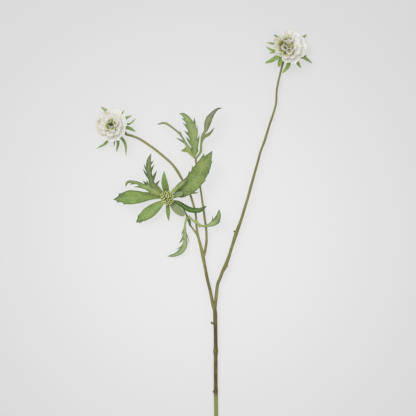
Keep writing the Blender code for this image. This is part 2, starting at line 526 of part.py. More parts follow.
# Leaves. rib: (x, y, z) rows from foot to tip. roll: turn of the blade about its rib in degrees, foot
# and tip. widths: (share of the length, half width). lobes: (side, share of the length at the foot,
# length, half width, angle from the rib in degrees); side is +1 to the right of the rib. fold: lift of
# the margins per millimetre from the rib.
LEAVES = {
    "leaf_rosette_left": dict(
        rib=[(-50.6, 47.3, 15.3), (-55, 48, 15.5), (-62, 48.8, 17), (-78, 48, 18.5), (-94, 47.6, 17.4),
             (-107, 46, 14.6), (-116.2, 44.6, 12)],
        roll=(0, 4), fold=0.10,
        widths=[(0, 1.6), (0.08, 2.6), (0.18, 3.8), (0.28, 4.6), (0.46, 7.6), (0.58, 8.8), (0.67, 9.2),
                (0.77, 7.6), (0.86, 4.6), (0.93, 2.2), (1, 0.4)],
        lobes=[(1, 0.79, 3.0, 0.9, -8), (-1, 0.72, 2.8, 1.0, -4), (-1, 0.85, 3.2, 0.8, -10)],
    ),
    "leaf_rosette_low": dict(
        rib=[(-49.4, 43.6, 15.2), (-52, 41.2, 15), (-57, 37.6, 15.6), (-67, 30, 15), (-78, 22, 11.5),
             (-86.6, 15, 7)],
        roll=(0, -6), fold=0.12,
        widths=[(0, 1.5), (0.1, 3.4), (0.27, 5.9), (0.45, 7.4), (0.6, 7.4), (0.76, 5.6), (0.89, 3.0),
                (0.96, 1.4), (1, 0.3)],
        lobes=[(1, 0.74, 3.0, 0.9, -10), (-1, 0.82, 3.0, 0.8, -12)],
    ),
    "leaf_rosette_cut": dict(
        rib=[(-50.6, 51, 15.8), (-53.4, 53.2, 17.2), (-58, 56.6, 19.5), (-64, 62, 22.5), (-67.6, 73, 26),
             (-70, 86, 28), (-69.2, 96, 28), (-66.4, 104.5, 26)],
        roll=(0, 10), fold=0.14,
        widths=[(0, 1.5), (0.1, 3.6), (0.22, 5.0), (0.3, 3.9), (0.5, 3.3), (0.7, 3.3), (0.85, 2.6),
                (1, 0.35)],
        lobes=[(-1, 0.22, 13, 2.28, 26), (1, 0.24, 9, 1.68, 42), (1, 0.40, 12.5, 1.8, 32),
               (-1, 0.46, 12, 1.8, 20), (1, 0.58, 10.5, 1.56, 26), (-1, 0.60, 8.5, 1.44, 18),
               (1, 0.72, 7, 1.32, 24)],
    ),
    "leaf_rosette_curled": dict(
        rib=[(-54, 50, 18.8), (-57, 51.8, 20.2), (-62, 54.6, 23.2), (-72, 59.6, 26.4), (-82, 65, 28),
             (-91, 67.4, 27.4), (-97.5, 66.6, 24.6), (-99.6, 60.6, 22)],
        roll=(-8, -30), fold=0.1,
        widths=[(0, 1.2), (0.1, 2.8), (0.22, 3.9), (0.36, 3.4), (0.5, 2.5), (0.75, 1.9), (0.9, 1.5),
                (1, 0.3)],
        lobes=[(-1, 0.16, 15, 1.68, 20), (-1, 0.42, 12, 1.68, 18), (1, 0.30, 9.5, 1.92, 34),
               (-1, 0.66, 6, 1.2, 24)],
    ),
    "leaf_rosette_great": dict(
        rib=[(-40, 49.6, 15.4), (-36, 51.0, 15.8), (-29.3, 53.8, 17.8), (-19.5, 60.8, 20.6),
             (-11, 69.4, 23.4), (-2.6, 82.2, 26.6), (4.7, 94.9, 28), (8.8, 101.7, 27.8),
             (12.1, 107.5, 27)],
        roll=(0, -8), fold=0.12,
        widths=[(0, 1.6), (0.07, 3.4), (0.143, 7.2), (0.29, 10.2), (0.44, 11.0), (0.635, 10.4),
                (0.75, 9.0), (0.817, 7.2), (0.9, 3.8), (1, 0.4)],
        lobes=[(-1, 0.28, 5, 1.2, 16), (-1, 0.45, 6, 1.2, 16), (-1, 0.56, 5.4, 1.1, 24),
               (-1, 0.76, 8.4, 1.2, -9), (1, 0.26, 8.6, 1.4, 36), (1, 0.48, 4.4, 1.1, 18),
               (1, 0.62, 3.0, 1.0, 2), (1, 0.78, 5.0, 0.9, -17)],
    ),
    "leaf_rosette_fold": dict(
        rib=[(-40.8, 52.6, 18.6), (-38.6, 55.4, 20.2), (-33, 59.6, 22.8), (-27, 65, 25),
             (-20.5, 70.6, 27)],
        roll=(30, 40), fold=0.2,
        widths=[(0, 1.2), (0.25, 2.8), (0.6, 3.6), (0.85, 2.2), (1, 0.35)],
        lobes=[],
    ),
    "leaf_rosette_dark": dict(
        rib=[(-37.8, 42.8, 18.3), (-32.5, 41, 18.2), (-28.6, 38.6, 18), (-23.4, 34.8, 17.4),
             (-16.9, 31.6, 17), (-9.1, 30.4, 17.2), (-2.6, 31.4, 18), (4.8, 36.6, 20.4)],
        roll=(20, 26), fold=0.16,
        widths=[(0, 1.4), (0.12, 2.4), (0.3, 3.4), (0.5, 3.6), (0.7, 3.4), (0.85, 2.5), (0.94, 1.3),
                (1, 0.3)],
        lobes=[],
    ),
    "leaf_pair_side": dict(
        rib=[(-18.6, 23.8, 9.7), (-15, 19.5, 11.6), (-11.4, 16.4, 12.2), (-6.4, 13.5, 12.4),
             (-1, 10.4, 12.4), (6, 11.2, 13), (13, 13.4, 14.6), (18, 18, 16.6), (20.6, 25, 18.4),
             (20.8, 32.4, 18.8)],
        roll=(0, 30), fold=0.2,
        widths=[(0, 1.0), (0.1, 1.5), (0.3, 1.5), (0.45, 1.6), (0.55, 2.4), (0.68, 4.0), (0.8, 4.0),
                (0.92, 2.2), (1, 0.3)],
        lobes=[(-1, 0.16, 5, 1.4, 28), (1, 0.26, 4.4, 1.4, 28), (-1, 0.54, 12.5, 2.24, 26),
               (1, 0.64, 5, 1.96, 24)],
    ),
    "leaf_pair_down": dict(
        rib=[(-21.4, 20.8, 10), (-22.8, 15, 9.8), (-23.6, 3, 8), (-22.8, -7.8, 6.4), (-23.9, -15.6, 5.6),
             (-28.4, -22.1, 4.9), (-36, -27, 4.3), (-46.4, -29, 4)],
        roll=(0, -10), fold=0.14,
        widths=[(0, 1.1), (0.1, 1.4), (0.3, 1.9), (0.45, 2.5), (0.58, 3.3), (0.7, 3.4), (0.82, 2.4),
                (0.92, 1.5), (1, 0.3)],
        lobes=[(1, 0.21, 7, 1.5, 26), (1, 0.31, 13, 2.1, 28), (1, 0.47, 15, 2.25, 13),
               (-1, 0.25, 14, 1.65, 13)],
    ),
    "leaf_pair_scale": dict(
        rib=[(-19.2, 20.6, 8.2), (-17.4, 16, 10.8), (-16.4, 9.4, 11.8)],
        roll=(0, 0), fold=0.1,
        widths=[(0, 0.9), (0.4, 1.8), (0.8, 1.2), (1, 0.3)],
        lobes=[],
    ),
    "leaf_tuft_middle": dict(
        rib=[(-10, 100.2, 9.4), (-10.2, 103, 10.6), (-10.8, 110, 14), (-12, 121, 18), (-13.9, 134, 21),
             (-18.9, 146.5, 24.5), (-25.5, 154.2, 25), (-30.6, 155, 22.6)],
        roll=(0, -14), fold=0.14,
        widths=[(0, 1.1), (0.05, 2.0), (0.12, 4.6), (0.2, 4.2), (0.26, 3.4), (0.34, 4.4), (0.46, 6.0),
                (0.62, 5.4), (0.8, 3.8), (0.92, 1.9), (1, 0.35)],
        lobes=[(-1, 0.22, 13, 2.28, 28), (-1, 0.38, 12.5, 2.28, 26), (-1, 0.56, 11.5, 1.8, 12),
               (1, 0.18, 13, 2.64, 18), (1, 0.40, 12.5, 1.92, 14), (1, 0.58, 9, 1.68, 20),
               (-1, 0.72, 8.5, 1.32, 6)],
    ),
    "leaf_tuft_left": dict(
        rib=[(-11, 98.6, 8.2), (-13, 100.8, 8.4), (-16.5, 106.5, 9.8), (-19.8, 113, 12), (-24, 121, 14.6),
             (-29.5, 128.8, 16.4), (-37.7, 136.2, 17.8), (-46, 142, 18), (-52, 143.5, 17.2),
             (-59.2, 141.7, 14.6)],
        roll=(0, -26), fold=0.16,
        widths=[(0, 1.1), (0.05, 1.3), (0.12, 3.0), (0.2, 3.0), (0.32, 1.4), (0.5, 1.2), (0.7, 1.2),
                (0.84, 1.6), (0.94, 1.1), (1, 0.3)],
        lobes=[(-1, 0.30, 15, 1.49, 24), (-1, 0.14, 8.5, 2.7, 62), (1, 0.46, 6, 1.22, 20)],
    ),
    "leaf_tuft_right": dict(
        rib=[(-8.4, 98.6, 8.4), (-6.6, 101, 8.8), (-3, 106.6, 10.4), (-2, 117, 13.4), (-0.6, 127, 17.5),
             (4, 134.8, 20), (5.8, 142.5, 22), (9.4, 150.4, 23.8), (14, 157, 24.2), (19.2, 161.4, 23.8),
             (24.8, 162.6, 22)],
        roll=(10, 30), fold=0.16,
        widths=[(0, 1.1), (0.15, 1.5), (0.35, 1.6), (0.47, 1.8), (0.54, 3.0), (0.64, 4.6), (0.74, 4.0),
                (0.84, 2.4), (0.93, 1.3), (1, 0.3)],
        lobes=[(1, 0.29, 22, 3.2, 27), (-1, 0.55, 4, 1.0, 14), (-1, 0.66, 3.6, 1.0, 8)],
    ),
}


def leaf_outline(spec, length):
    """The leaf's margin as (along, across) points, anticlockwise, with its lobes and teeth set into it."""
    shares, halves = zip(*spec["widths"])

    def half(at):
        return float(np.interp(at / length, shares, halves))

    margins = {}
    for side in (1, -1):
        lobes = sorted((share * length, *form) for s, share, *form in spec["lobes"] if s == side)
        margin, done = [], 0.0
        stations = [s * length for s in shares[:-1]]
        for foot, reach, wide, angle in lobes + [(2 * length, 0, 0, 0)]:
            margin += [(s, side * half(s)) for s in stations if done <= s < foot - 0.6]
            if foot > length:
                break
            turn = math.radians(angle)
            base = wide * 3.2 / max(0.5, math.sin(turn + 0.5))
            back = min(foot + base, length * 0.97)
            y0, y1 = side * half(foot), side * half(back)
            tip = (foot + reach * math.cos(turn) + base * 0.4, y0 + side * reach * math.sin(turn))
            low = (foot + (tip[0] - foot) * 0.55, y0 + (tip[1] - y0) * 0.62)
            high = (back + (tip[0] - back) * 0.5, y1 + (tip[1] - y1) * 0.5 - side * 0.1)
            margin += [(foot, y0)]
            if reach > 6:
                margin += [low]
            margin += [tip]
            if reach > 6:
                margin += [high]
            margin += [(back, y1)]
            done = back + 0.6
        margins[side] = margin
    return margins[-1] + [(length, 0.0)] + margins[1][::-1]


def tidy_outline(outline, least=0.25):
    """Drops points that lie closer than the least distance to the one before."""
    kept = [outline[0]]
    for p in outline[1:]:
        if math.dist(p, kept[-1]) > least:
            kept.append(p)
    return kept


def build_leaf(name, spec, material, thickness, inner_step=7.0):
    """A cut or toothed leaf: its outline triangulated flat, then bent along its rib."""
    rib = smoothed(spec["rib"], 1.5)
    reach = np.concatenate([[0], np.cumsum(np.linalg.norm(np.diff(rib, axis=0), axis=1))])
    length = float(reach[-1])
    outline = tidy_outline(leaf_outline(spec, length))
    count = len(outline)
    inner = [(float(s), 0.0) for s in np.arange(inner_step * 0.6, length - 1.0, inner_step)]
    flat = [Vector(p) for p in outline + inner]
    loop = [(i, (i + 1) % count) for i in range(count)]
    spots, _, faces, _, _, _ = delaunay_2d_cdt(flat, loop, [list(range(count))], 1, 1e-5)

    def bent(along, across):
        at = np.array([np.interp(along, reach, rib[:, k]) for k in range(3)])
        back = np.array([np.interp(max(along - 1, 0), reach, rib[:, k]) for k in range(3)])
        ahead = np.array([np.interp(min(along + 1, length), reach, rib[:, k]) for k in range(3)])
        tangent = Vector(ahead - back).normalized()
        side = tangent.cross(Vector((0, 0, 1))).normalized()
        up = side.cross(tangent)
        share = along / length
        roll = math.radians(spec["roll"][0] * (1 - share) + spec["roll"][1] * share)
        turned_side = side * math.cos(roll) + up * math.sin(roll)
        turned_up = up * math.cos(roll) - side * math.sin(roll)
        lift = spec["fold"] * (abs(across) - 0.03 * across * across)
        return Vector(at) + turned_side * across + turned_up * lift

    step = 0.4
    sheet, normals = [], []
    for along, across in ((float(s.x), float(s.y)) for s in spots):
        sheet.append(bent(along, across))
        ahead = bent(along + step, across) - bent(along - step, across)
        wide = bent(along, across + step) - bent(along, across - step)
        normals.append(wide.cross(ahead).normalized())
    turned_faces = []
    for a, b, c in faces:
        across = (sheet[b] - sheet[a]).cross(sheet[c] - sheet[a])
        turned_faces.append((a, b, c) if across.dot(normals[a]) > 0 else (a, c, b))
    leaf = blade_solid(name, sheet, normals, turned_faces, thickness)
    leaf.data.materials.append(material)
    return leaf


def plain_material(name, colour, roughness):
    made = bpy.data.materials.new(name)
    made.use_nodes = True
    shader = made.node_tree.nodes["Principled BSDF"]
    shader.inputs["Base Color"].default_value = (*colour, 1)
    shader.inputs["Roughness"].default_value = roughness
    made.diffuse_color = (*colour, 1)
    return made


def clear_scene():
    for old in list(bpy.data.objects):
        bpy.data.objects.remove(old)


def shade(body):
    body.data.shade_smooth()
    body.data.set_sharp_from_angle(angle=math.radians(40))


def build_stem(material):
    """The branching stem as one piece, and a fatter copy of it that cuts the leaves clear."""
    bodies = []
    for swell in (0.0, SURFACE_GAP):
        pieces = [
            stalk("main", MAIN_SHOOT, 8, swell),
            stalk("right", RIGHT_SHOOT, 7, swell),
            stalk("leafy", LEAFY_SHOOT, 6, swell),
            stalk("budding", BUD_SHOOT, 6, swell),
        ]
        if not swell:
            pieces += [stub("stub", *spec) for spec in STUBS]
        bodies.append(joined("stem" if not swell else "stem_room", pieces, material))
    return bodies


def main():
    clear_scene()
    stem_green = plain_material("stem_green", (0.20, 0.19, 0.06), 0.6)
    leaf_green = plain_material("leaf_green", (0.20, 0.30, 0.09), 0.6)
    bract_green = plain_material("bract_green", (0.17, 0.29, 0.06), 0.6)
    petal_white = plain_material("petal_white", (0.86, 0.85, 0.78), 0.7)
    bud_green = plain_material("bud_green", (0.50, 0.53, 0.22), 0.7)
    stem, stem_room = build_stem(stem_green)
    bodies = [stem]
    for side, spec in HEADS.items():
        involucre, florets, eye = build_head(side, spec, bract_green, petal_white, bud_green)
        cut_clear(involucre, [stem_room])
        bodies += [involucre, florets, eye]
    (bud_involucre, bud_room), bud_florets = build_bud(bract_green, bud_green)
    cut_clear(bud_involucre, [stem_room])
    bodies += [bud_involucre, bud_florets]
    for name, spec in LEAVES.items():
        leaf = build_leaf(name, spec, leaf_green, LEAF_THICKNESS)
        cut_clear(leaf, [stem_room, bud_room] if "rosette" in name else [stem_room])
        bodies.append(leaf)
    bpy.data.objects.remove(stem_room)
    bpy.data.objects.remove(bud_room)
    for body in bodies:
        shade(body)


main()
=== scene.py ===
"""The looks of the cut scabiosa spray: finer pieces in place of the solids, materials, light and camera.

Lengths are in millimetres until an object is made, as in the solids' source. Its routes and tables are
repeated here.
"""

import math
import random

import bpy
import numpy as np
from mathutils import Matrix, Vector, noise
from mathutils.geometry import delaunay_2d_cdt


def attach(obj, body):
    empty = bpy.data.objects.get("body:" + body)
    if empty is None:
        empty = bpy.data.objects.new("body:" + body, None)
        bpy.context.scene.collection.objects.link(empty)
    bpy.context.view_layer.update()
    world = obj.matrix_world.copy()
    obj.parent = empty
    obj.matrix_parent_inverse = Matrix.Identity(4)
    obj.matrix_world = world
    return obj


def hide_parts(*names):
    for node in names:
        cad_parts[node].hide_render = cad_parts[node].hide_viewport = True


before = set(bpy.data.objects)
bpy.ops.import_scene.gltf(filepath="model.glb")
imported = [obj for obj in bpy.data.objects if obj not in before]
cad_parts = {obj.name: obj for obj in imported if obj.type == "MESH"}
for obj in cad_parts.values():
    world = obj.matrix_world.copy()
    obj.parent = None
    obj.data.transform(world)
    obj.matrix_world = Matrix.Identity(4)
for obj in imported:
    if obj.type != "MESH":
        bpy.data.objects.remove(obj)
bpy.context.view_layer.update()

MM = 0.001

# Fineness and blade thicknesses, in millimetres
STEM_SPACING = 1.6
STEM_SIDES = 18
STEM_GROOVES = 7
THIN_STEM_SIDES = 14
STUB_SIDES = 12
LEAF_SPACING = 1.15
LEAF_THICKNESS = 0.42
RIB_THICKNESS = 0.55
PETAL_THICKNESS = 0.32
PETAL_STEPS = (14, 18)
LIP_STEPS = (8, 12)
BRACT_THICKNESS = 0.42
BRACT_STEPS = (18, 8)
SURFACE_GAP = 0.3
HEAD_CORE_RADIUS = 7.0
HEAD_CORE_TOP = 13.0
CUP_TOP_RADIUS = 7.2
CUP_HEIGHT = 4.2
BUD_RADIUS = 9.2
BUD_HEIGHT = 8.6
BUD_CUP_HEIGHT = 2.4

# Rings of a stub and of a closed floret bud: share of the length, share of the radius
STUB_RINGS = [(0, 1.15), (0.35, 0.95), (0.7, 0.85), (0.9, 1.02), (1.0, 0.92), (0.96, 0.55)]
KNOB_RINGS = [(-1.2, 0.62), (0.0, 0.7), (0.35, 0.86), (0.65, 1.0), (0.85, 0.98), (1.0, 0.72),
              (0.98, 0.36), (0.84, 0.08)]
KNOB_SIDES = 10

# Leaves, in millimetres: reach of the ribs, veins and dark margin, and the margin's waves
RIB_HALF_WIDTH = 0.45
RIB_HALF_WIDTH_GAIN = 0.5
VEIN_HALF_WIDTH = 0.38
VEIN_SPACING = 5.5
QUILT_RISE = 0.12
MARGIN_REACH = 1.5
WAVE_RISE = 0.3
WAVE_LENGTH = 2.3
LEAST_STEP = 0.25
LONG_LOBE = 6
CORNER = math.radians(58)

# The photograph's frame: its width on the surface, the point under its middle, and the camera's height
PHOTO_WIDTH = 540.8
PHOTO_MIDDLE = (6.5, 33.8)
CAMERA_HEIGHT = 2600
SENSOR = 36

# The studio, in metres and watts: name, place, size and power of each light
LIGHTS = (
    ("key_light", (-0.9, 0.9, 1.9), 1.4, 23),
    ("fill_light", (1.2, -0.6, 1.8), 1.8, 6),
)
WORLD_STRENGTH = 0.56
# The floor: its size; its glow, painted light that keeps the shadows faint; where that glow fades and its
# dimmer colour at the edge, painted shade; and its own greys
FLOOR_SIZE = 6
FLOOR_GLOW = 0.66
FLOOR_GLOW_FADE = (0.05, 0.42)
FLOOR_EDGE_GLOW = (0.81, 0.81, 0.81)
FLOOR_GREYS = ((0.165, 0.165, 0.165), (0.172, 0.172, 0.172))

# The stem: each shoot is a list of (x, y, z, radius) that the middle of the stalk passes through
MAIN_SHOOT = [
    (17, -263, 2.4, 2.65), (17, -245, 2.4, 2.65), (16.8, -222, 2.5, 2.6), (16.6, -206, 2.8, 2.75),
    (16.4, -190, 3.2, 2.5), (16.4, -172, 3.8, 2.55), (16.4, -158, 4.3, 2.5), (16.4, -152, 4.6, 3.3),
    (16.4, -146, 4.9, 2.6), (16.2, -126, 5.4, 2.4), (15.9, -114, 5.8, 2.7), (15.4, -100, 6.2, 2.7),
    (13, -92, 6.4, 2.2), (9.4, -74, 6.8, 2.0), (5.7, -59, 7.1, 2.0), (2.5, -42.5, 7.4, 2.0),
    (-0.2, -28.6, 7.5, 2.3), (-3.4, -14.3, 7.5, 1.85), (-6.6, -2.3, 7.4, 1.65), (-8.5, 10.4, 7.1, 1.45),
    (-9.6, 26, 6.8, 1.4), (-13.9, 42.9, 6.5, 1.4), (-18.9, 57.2, 6.3, 1.4), (-26.4, 69.4, 6.1, 1.5),
    (-33, 81, 6, 1.75), (-40.4, 91, 6, 1.5), (-50.4, 100.1, 6, 1.5), (-62.9, 110.2, 5.8, 1.5),
    (-80.1, 122, 5.4, 1.5), (-90.9, 126.9, 4.9, 1.5), (-99.5, 129.4, 4.3, 1.5),
    (-106.3, 133.8, 4.1, 1.5), (-110.6, 137, 5.4, 1.5), (-112.6, 138.4, 8.4, 1.4),
    (-113.1, 138.7, 9.9, 1.4),
]
RIGHT_SHOOT = [
    (15.6, -104, 6, 1.7), (15.8, -93, 6.2, 2.1), (17.3, -79.3, 6.7, 2.1), (18.9, -65.3, 7.1, 2.1),
    (22.1, -57.1, 7.3, 2.1), (25.5, -48.1, 7.5, 2.15), (28.5, -42.5, 7.6, 2.6), (33, -30.6, 7.8, 2.1),
    (37.6, -16, 8, 2.0), (43, 1, 8.1, 2.4), (49.5, 18.7, 8.2, 1.85), (53.4, 31.7, 8.2, 1.8),
    (58.4, 48, 8.2, 1.75), (62.5, 63.4, 8.1, 1.75), (70.3, 91, 7.8, 1.5), (74.6, 107.1, 7.6, 1.45),
    (80.2, 121.9, 7.3, 1.6), (86.2, 141.7, 6.9, 1.4), (89, 149.6, 6.8, 1.5), (92.6, 161.2, 6.5, 1.35),
    (94.8, 170.4, 6.2, 1.35), (95.6, 184.5, 5.7, 1.3), (97.1, 194.9, 5.2, 1.3),
    (100.4, 208.8, 4.5, 1.3), (103, 219.2, 3.9, 1.35), (106.6, 229.4, 3.6, 1.4), (108.8, 235.4, 4.4, 1.5),
    (109.4, 237.2, 7.2, 1.4), (109.6, 237.8, 8.7, 1.4),
]
LEAFY_SHOOT = [
    (-0.2, -33, 7.4, 1.5), (2.4, -22.5, 7.6, 1.75), (4.4, -10.5, 7.7, 1.6), (4.5, -1.4, 7.7, 1.5),
    (3.9, 7.8, 7.6, 1.45), (2.1, 20.5, 7.5, 1.45), (0.7, 32.4, 7.4, 1.4), (-1.2, 44.2, 7.3, 1.35),
    (-2.3, 52.8, 7.3, 1.2), (-5.2, 70.2, 7.4, 1.2), (-8.6, 90, 7.8, 1.2), (-9.8, 99.5, 8.4, 1.5),
]
BUD_SHOOT = [
    (-4.9, -8.5, 7.4, 1.0), (-6.9, -3.3, 7.6, 1.2), (-9.5, 1.6, 7.8, 1.15), (-13.3, 7, 8, 1.15),
    (-16.3, 11.3, 8.2, 1.1), (-18.7, 16.1, 8.4, 1.1), (-20.8, 23.1, 8.5, 1.5), (-23, 28, 8.4, 1),
    (-26.6, 34.5, 8, 0.95), (-32.5, 40, 7.6, 0.95), (-39.5, 44, 8, 1), (-44.4, 46, 10.4, 1.1),
    (-46, 46.7, 13.6, 1.2), (-46.2, 46.8, 16.2, 1.1),
]
# Stubs left by fallen leaves: foot, direction, length, radius
STUBS = [
    ((15, -117, 5.8), (-0.9, 0.45, 0.1), 5.4, 1.3),
    ((16.4, -206, 2.9), (-0.9, 0.5, 0.2), 3.9, 1.4),
    ((28.5, -42.5, 7.6), (0.9, 0.35, 0.1), 4.0, 1.2),
    ((43, 2, 8.1), (-0.85, 0.5, 0.15), 3.6, 1.3),
    ((16.4, -151, 4.7), (0.4, 0.5, 0.8), 3.9, 1.3),
]

# The open heads: foot of the receptacle, lean from upright and its direction.
# Bracts round the florets: x, y, z of the tip, half width, sideways bow, how blunt the tip is
# Florets, outermost first, in runs that share their cupping, curl towards the axis and whorl from 0
# (inner) to 2 (outer). Each row: x, y of the tip seen from above, its height along the axis, half width
HEADS = {
    "left": dict(
        foot=(-112.8, 138.5, 8.8), lean=26, toward=150, seed=11,
        bracts=[
            (-132.7, 165.4, 0.4, 2.7, -3, 0.4), (-102.3, 160.6, 9, 1.6, 0, 0.5),
            (-92.2, 153.4, 11.5, 2.2, 1, 0.6), (-86.6, 149.8, 14, 1.5, -4, 0.3),
            (-87, 132.8, 12.5, 2.6, 2, 0.4), (-97.6, 130.6, 10, 1.5, 0, 0.2),
            (-99.5, 101.5, 8, 2.1, 5, 0.2), (-112.6, 106.4, 6, 2.6, 4, 0.2),
            (-115.4, 114, 5, 1.7, 1, 0.2), (-138.2, 111, 2.5, 2.6, 5, 0.1),
            (-133, 146, 0.3, 1.9, 0, 0.2), (-120, 158, 2, 1.7, 0, 0.2),
        ],
        florets=[
            ((2, 3, 2), [
                (-139.8, 143, 9.5, 7.7), (-136.5, 130, 9, 7.4), (-129.3, 121.5, 9.5, 7.6),
                (-118.3, 118.3, 9, 7.7), (-108.5, 121.5, 9.5, 7.4), (-100.8, 130, 9, 7.6),
                (-98.2, 141.7, 9.5, 7.7), (-101.4, 153.4, 9, 7.6), (-109.9, 161.2, 9.5, 7.7),
                (-122.2, 161.8, 9, 7.6), (-133.2, 156, 9.5, 7.7),
            ]),
            ((2.8, 2.5, 1), [
                (-133.9, 139.8, 15, 6.6), (-129.3, 130, 14.5, 6.6), (-119, 125.5, 15, 6.8),
                (-108.5, 129.3, 14.5, 6.4), (-104.7, 140.4, 15, 6.6), (-108.5, 151.5, 14.5, 6.8),
                (-120.2, 155.3, 15, 6.6), (-130.7, 150.2, 14.5, 6.6),
            ]),
            ((3.6, 1.5, 0), [
                (-124.8, 150.8, 17.5, 5.1), (-128.7, 135.2, 17.5, 5.1), (-115, 132, 17.5, 5.1),
                (-109.2, 146.2, 17.5, 5.1),
            ]),
        ],
    ),
    "right": dict(
        foot=(109.5, 237.5, 7.7), lean=24, toward=70, seed=29,
        bracts=[
            (92, 259.2, 2.5, 2.3, -1, 0.6), (82.2, 248.4, 6.5, 2.1, -1, 0.3),
            (81.4, 243, 9, 2.2, 4, 0.3), (85.4, 234, 11, 1.8, 0, 0.6), (80.6, 221.4, 10, 3, 2, 1),
            (98.3, 216.2, 12, 3.1, -2, 1), (102.8, 208.4, 10, 2.8, 5, 0.8),
            (126.8, 214.8, 11, 3.2, 0, 0.4), (141.4, 221.4, 9, 3.3, 1, 0.3),
            (134.9, 230.6, 8, 1.9, 0, 0.4), (134.9, 259.2, 1.5, 2.8, 0, 0.4),
            (118, 259.5, 0.3, 1.9, 0, 0.2), (104, 258.5, 0.3, 1.8, 0, 0.2),
        ],
        florets=[
            ((2.2, 3, 2), [
                (90.4, 241.8, 9.5, 7), (91.7, 252.2, 9, 7), (100.1, 261.9, 9.5, 7),
                (111.2, 264.6, 10, 7.2),
            ]),
            ((2, 3, 2), [
                (122.2, 261.9, 9.5, 7.2), (130.7, 254.2, 9, 7), (134.6, 243.1, 9.5, 7.2),
                (131.3, 231.4, 9, 7), (119.6, 220, 9, 7.4), (107.2, 220.7, 9, 7.2),
                (94.2, 231.4, 9, 6.8),
            ]),
            ((3.2, 2, 1), [
                (105.3, 259.4, 15, 5.6), (114.4, 259.4, 15, 5.6),
            ]),
            ((2.6, 2.5, 1), [
                (124.2, 253.5, 14.5, 6.3), (127.4, 243.1, 15, 6.3), (124.2, 232.7, 14.5, 6.3),
            ]),
            ((3, 2, 1), [
                (115, 226.2, 15, 6), (104.7, 226.2, 14.5, 5.8), (94.2, 234.7, 15, 5.8),
                (93.6, 247.7, 15, 5.8),
            ]),
            ((3.6, 1.5, 0), [
                (101.4, 237.9, 17.5, 5.1), (111.2, 230.8, 17.5, 4.9),
            ]),
            ((3.4, 1.5, 0), [
                (120.2, 239.8, 17.5, 5.1),
            ]),
            ((2.6, 1, 0), [
                (109.9, 248.3, 17, 3.3),
            ]),
        ],
    ),
}
# Radius and height of a floret's root on the receptacle, for the inner, middle and outer whorl
FLORET_ROOTS = ((2.9, 10.0), (4.4, 9.0), (5.4, 6.6))
EYE_RADIUS = 2.3
EYE_KNOBS = 6

# The bud head: foot of its receptacle, and its own smooth bracts, given as the heads' bracts are
BUD_FOOT = (-46.2, 46.8, 15.2)
BUD_BRACTS = [(-50.2, 81.2, 22.5, 5.0, 1, 0.1), (-44.4, 16.8, 12, 3.0, 0, 0.2),
              (-24, 23.6, 14.2, 5.4, -1, 0.9), (-25.8, 53.2, 24.5, 3.6, 0, 1)]
BUD_KNOBS = 46

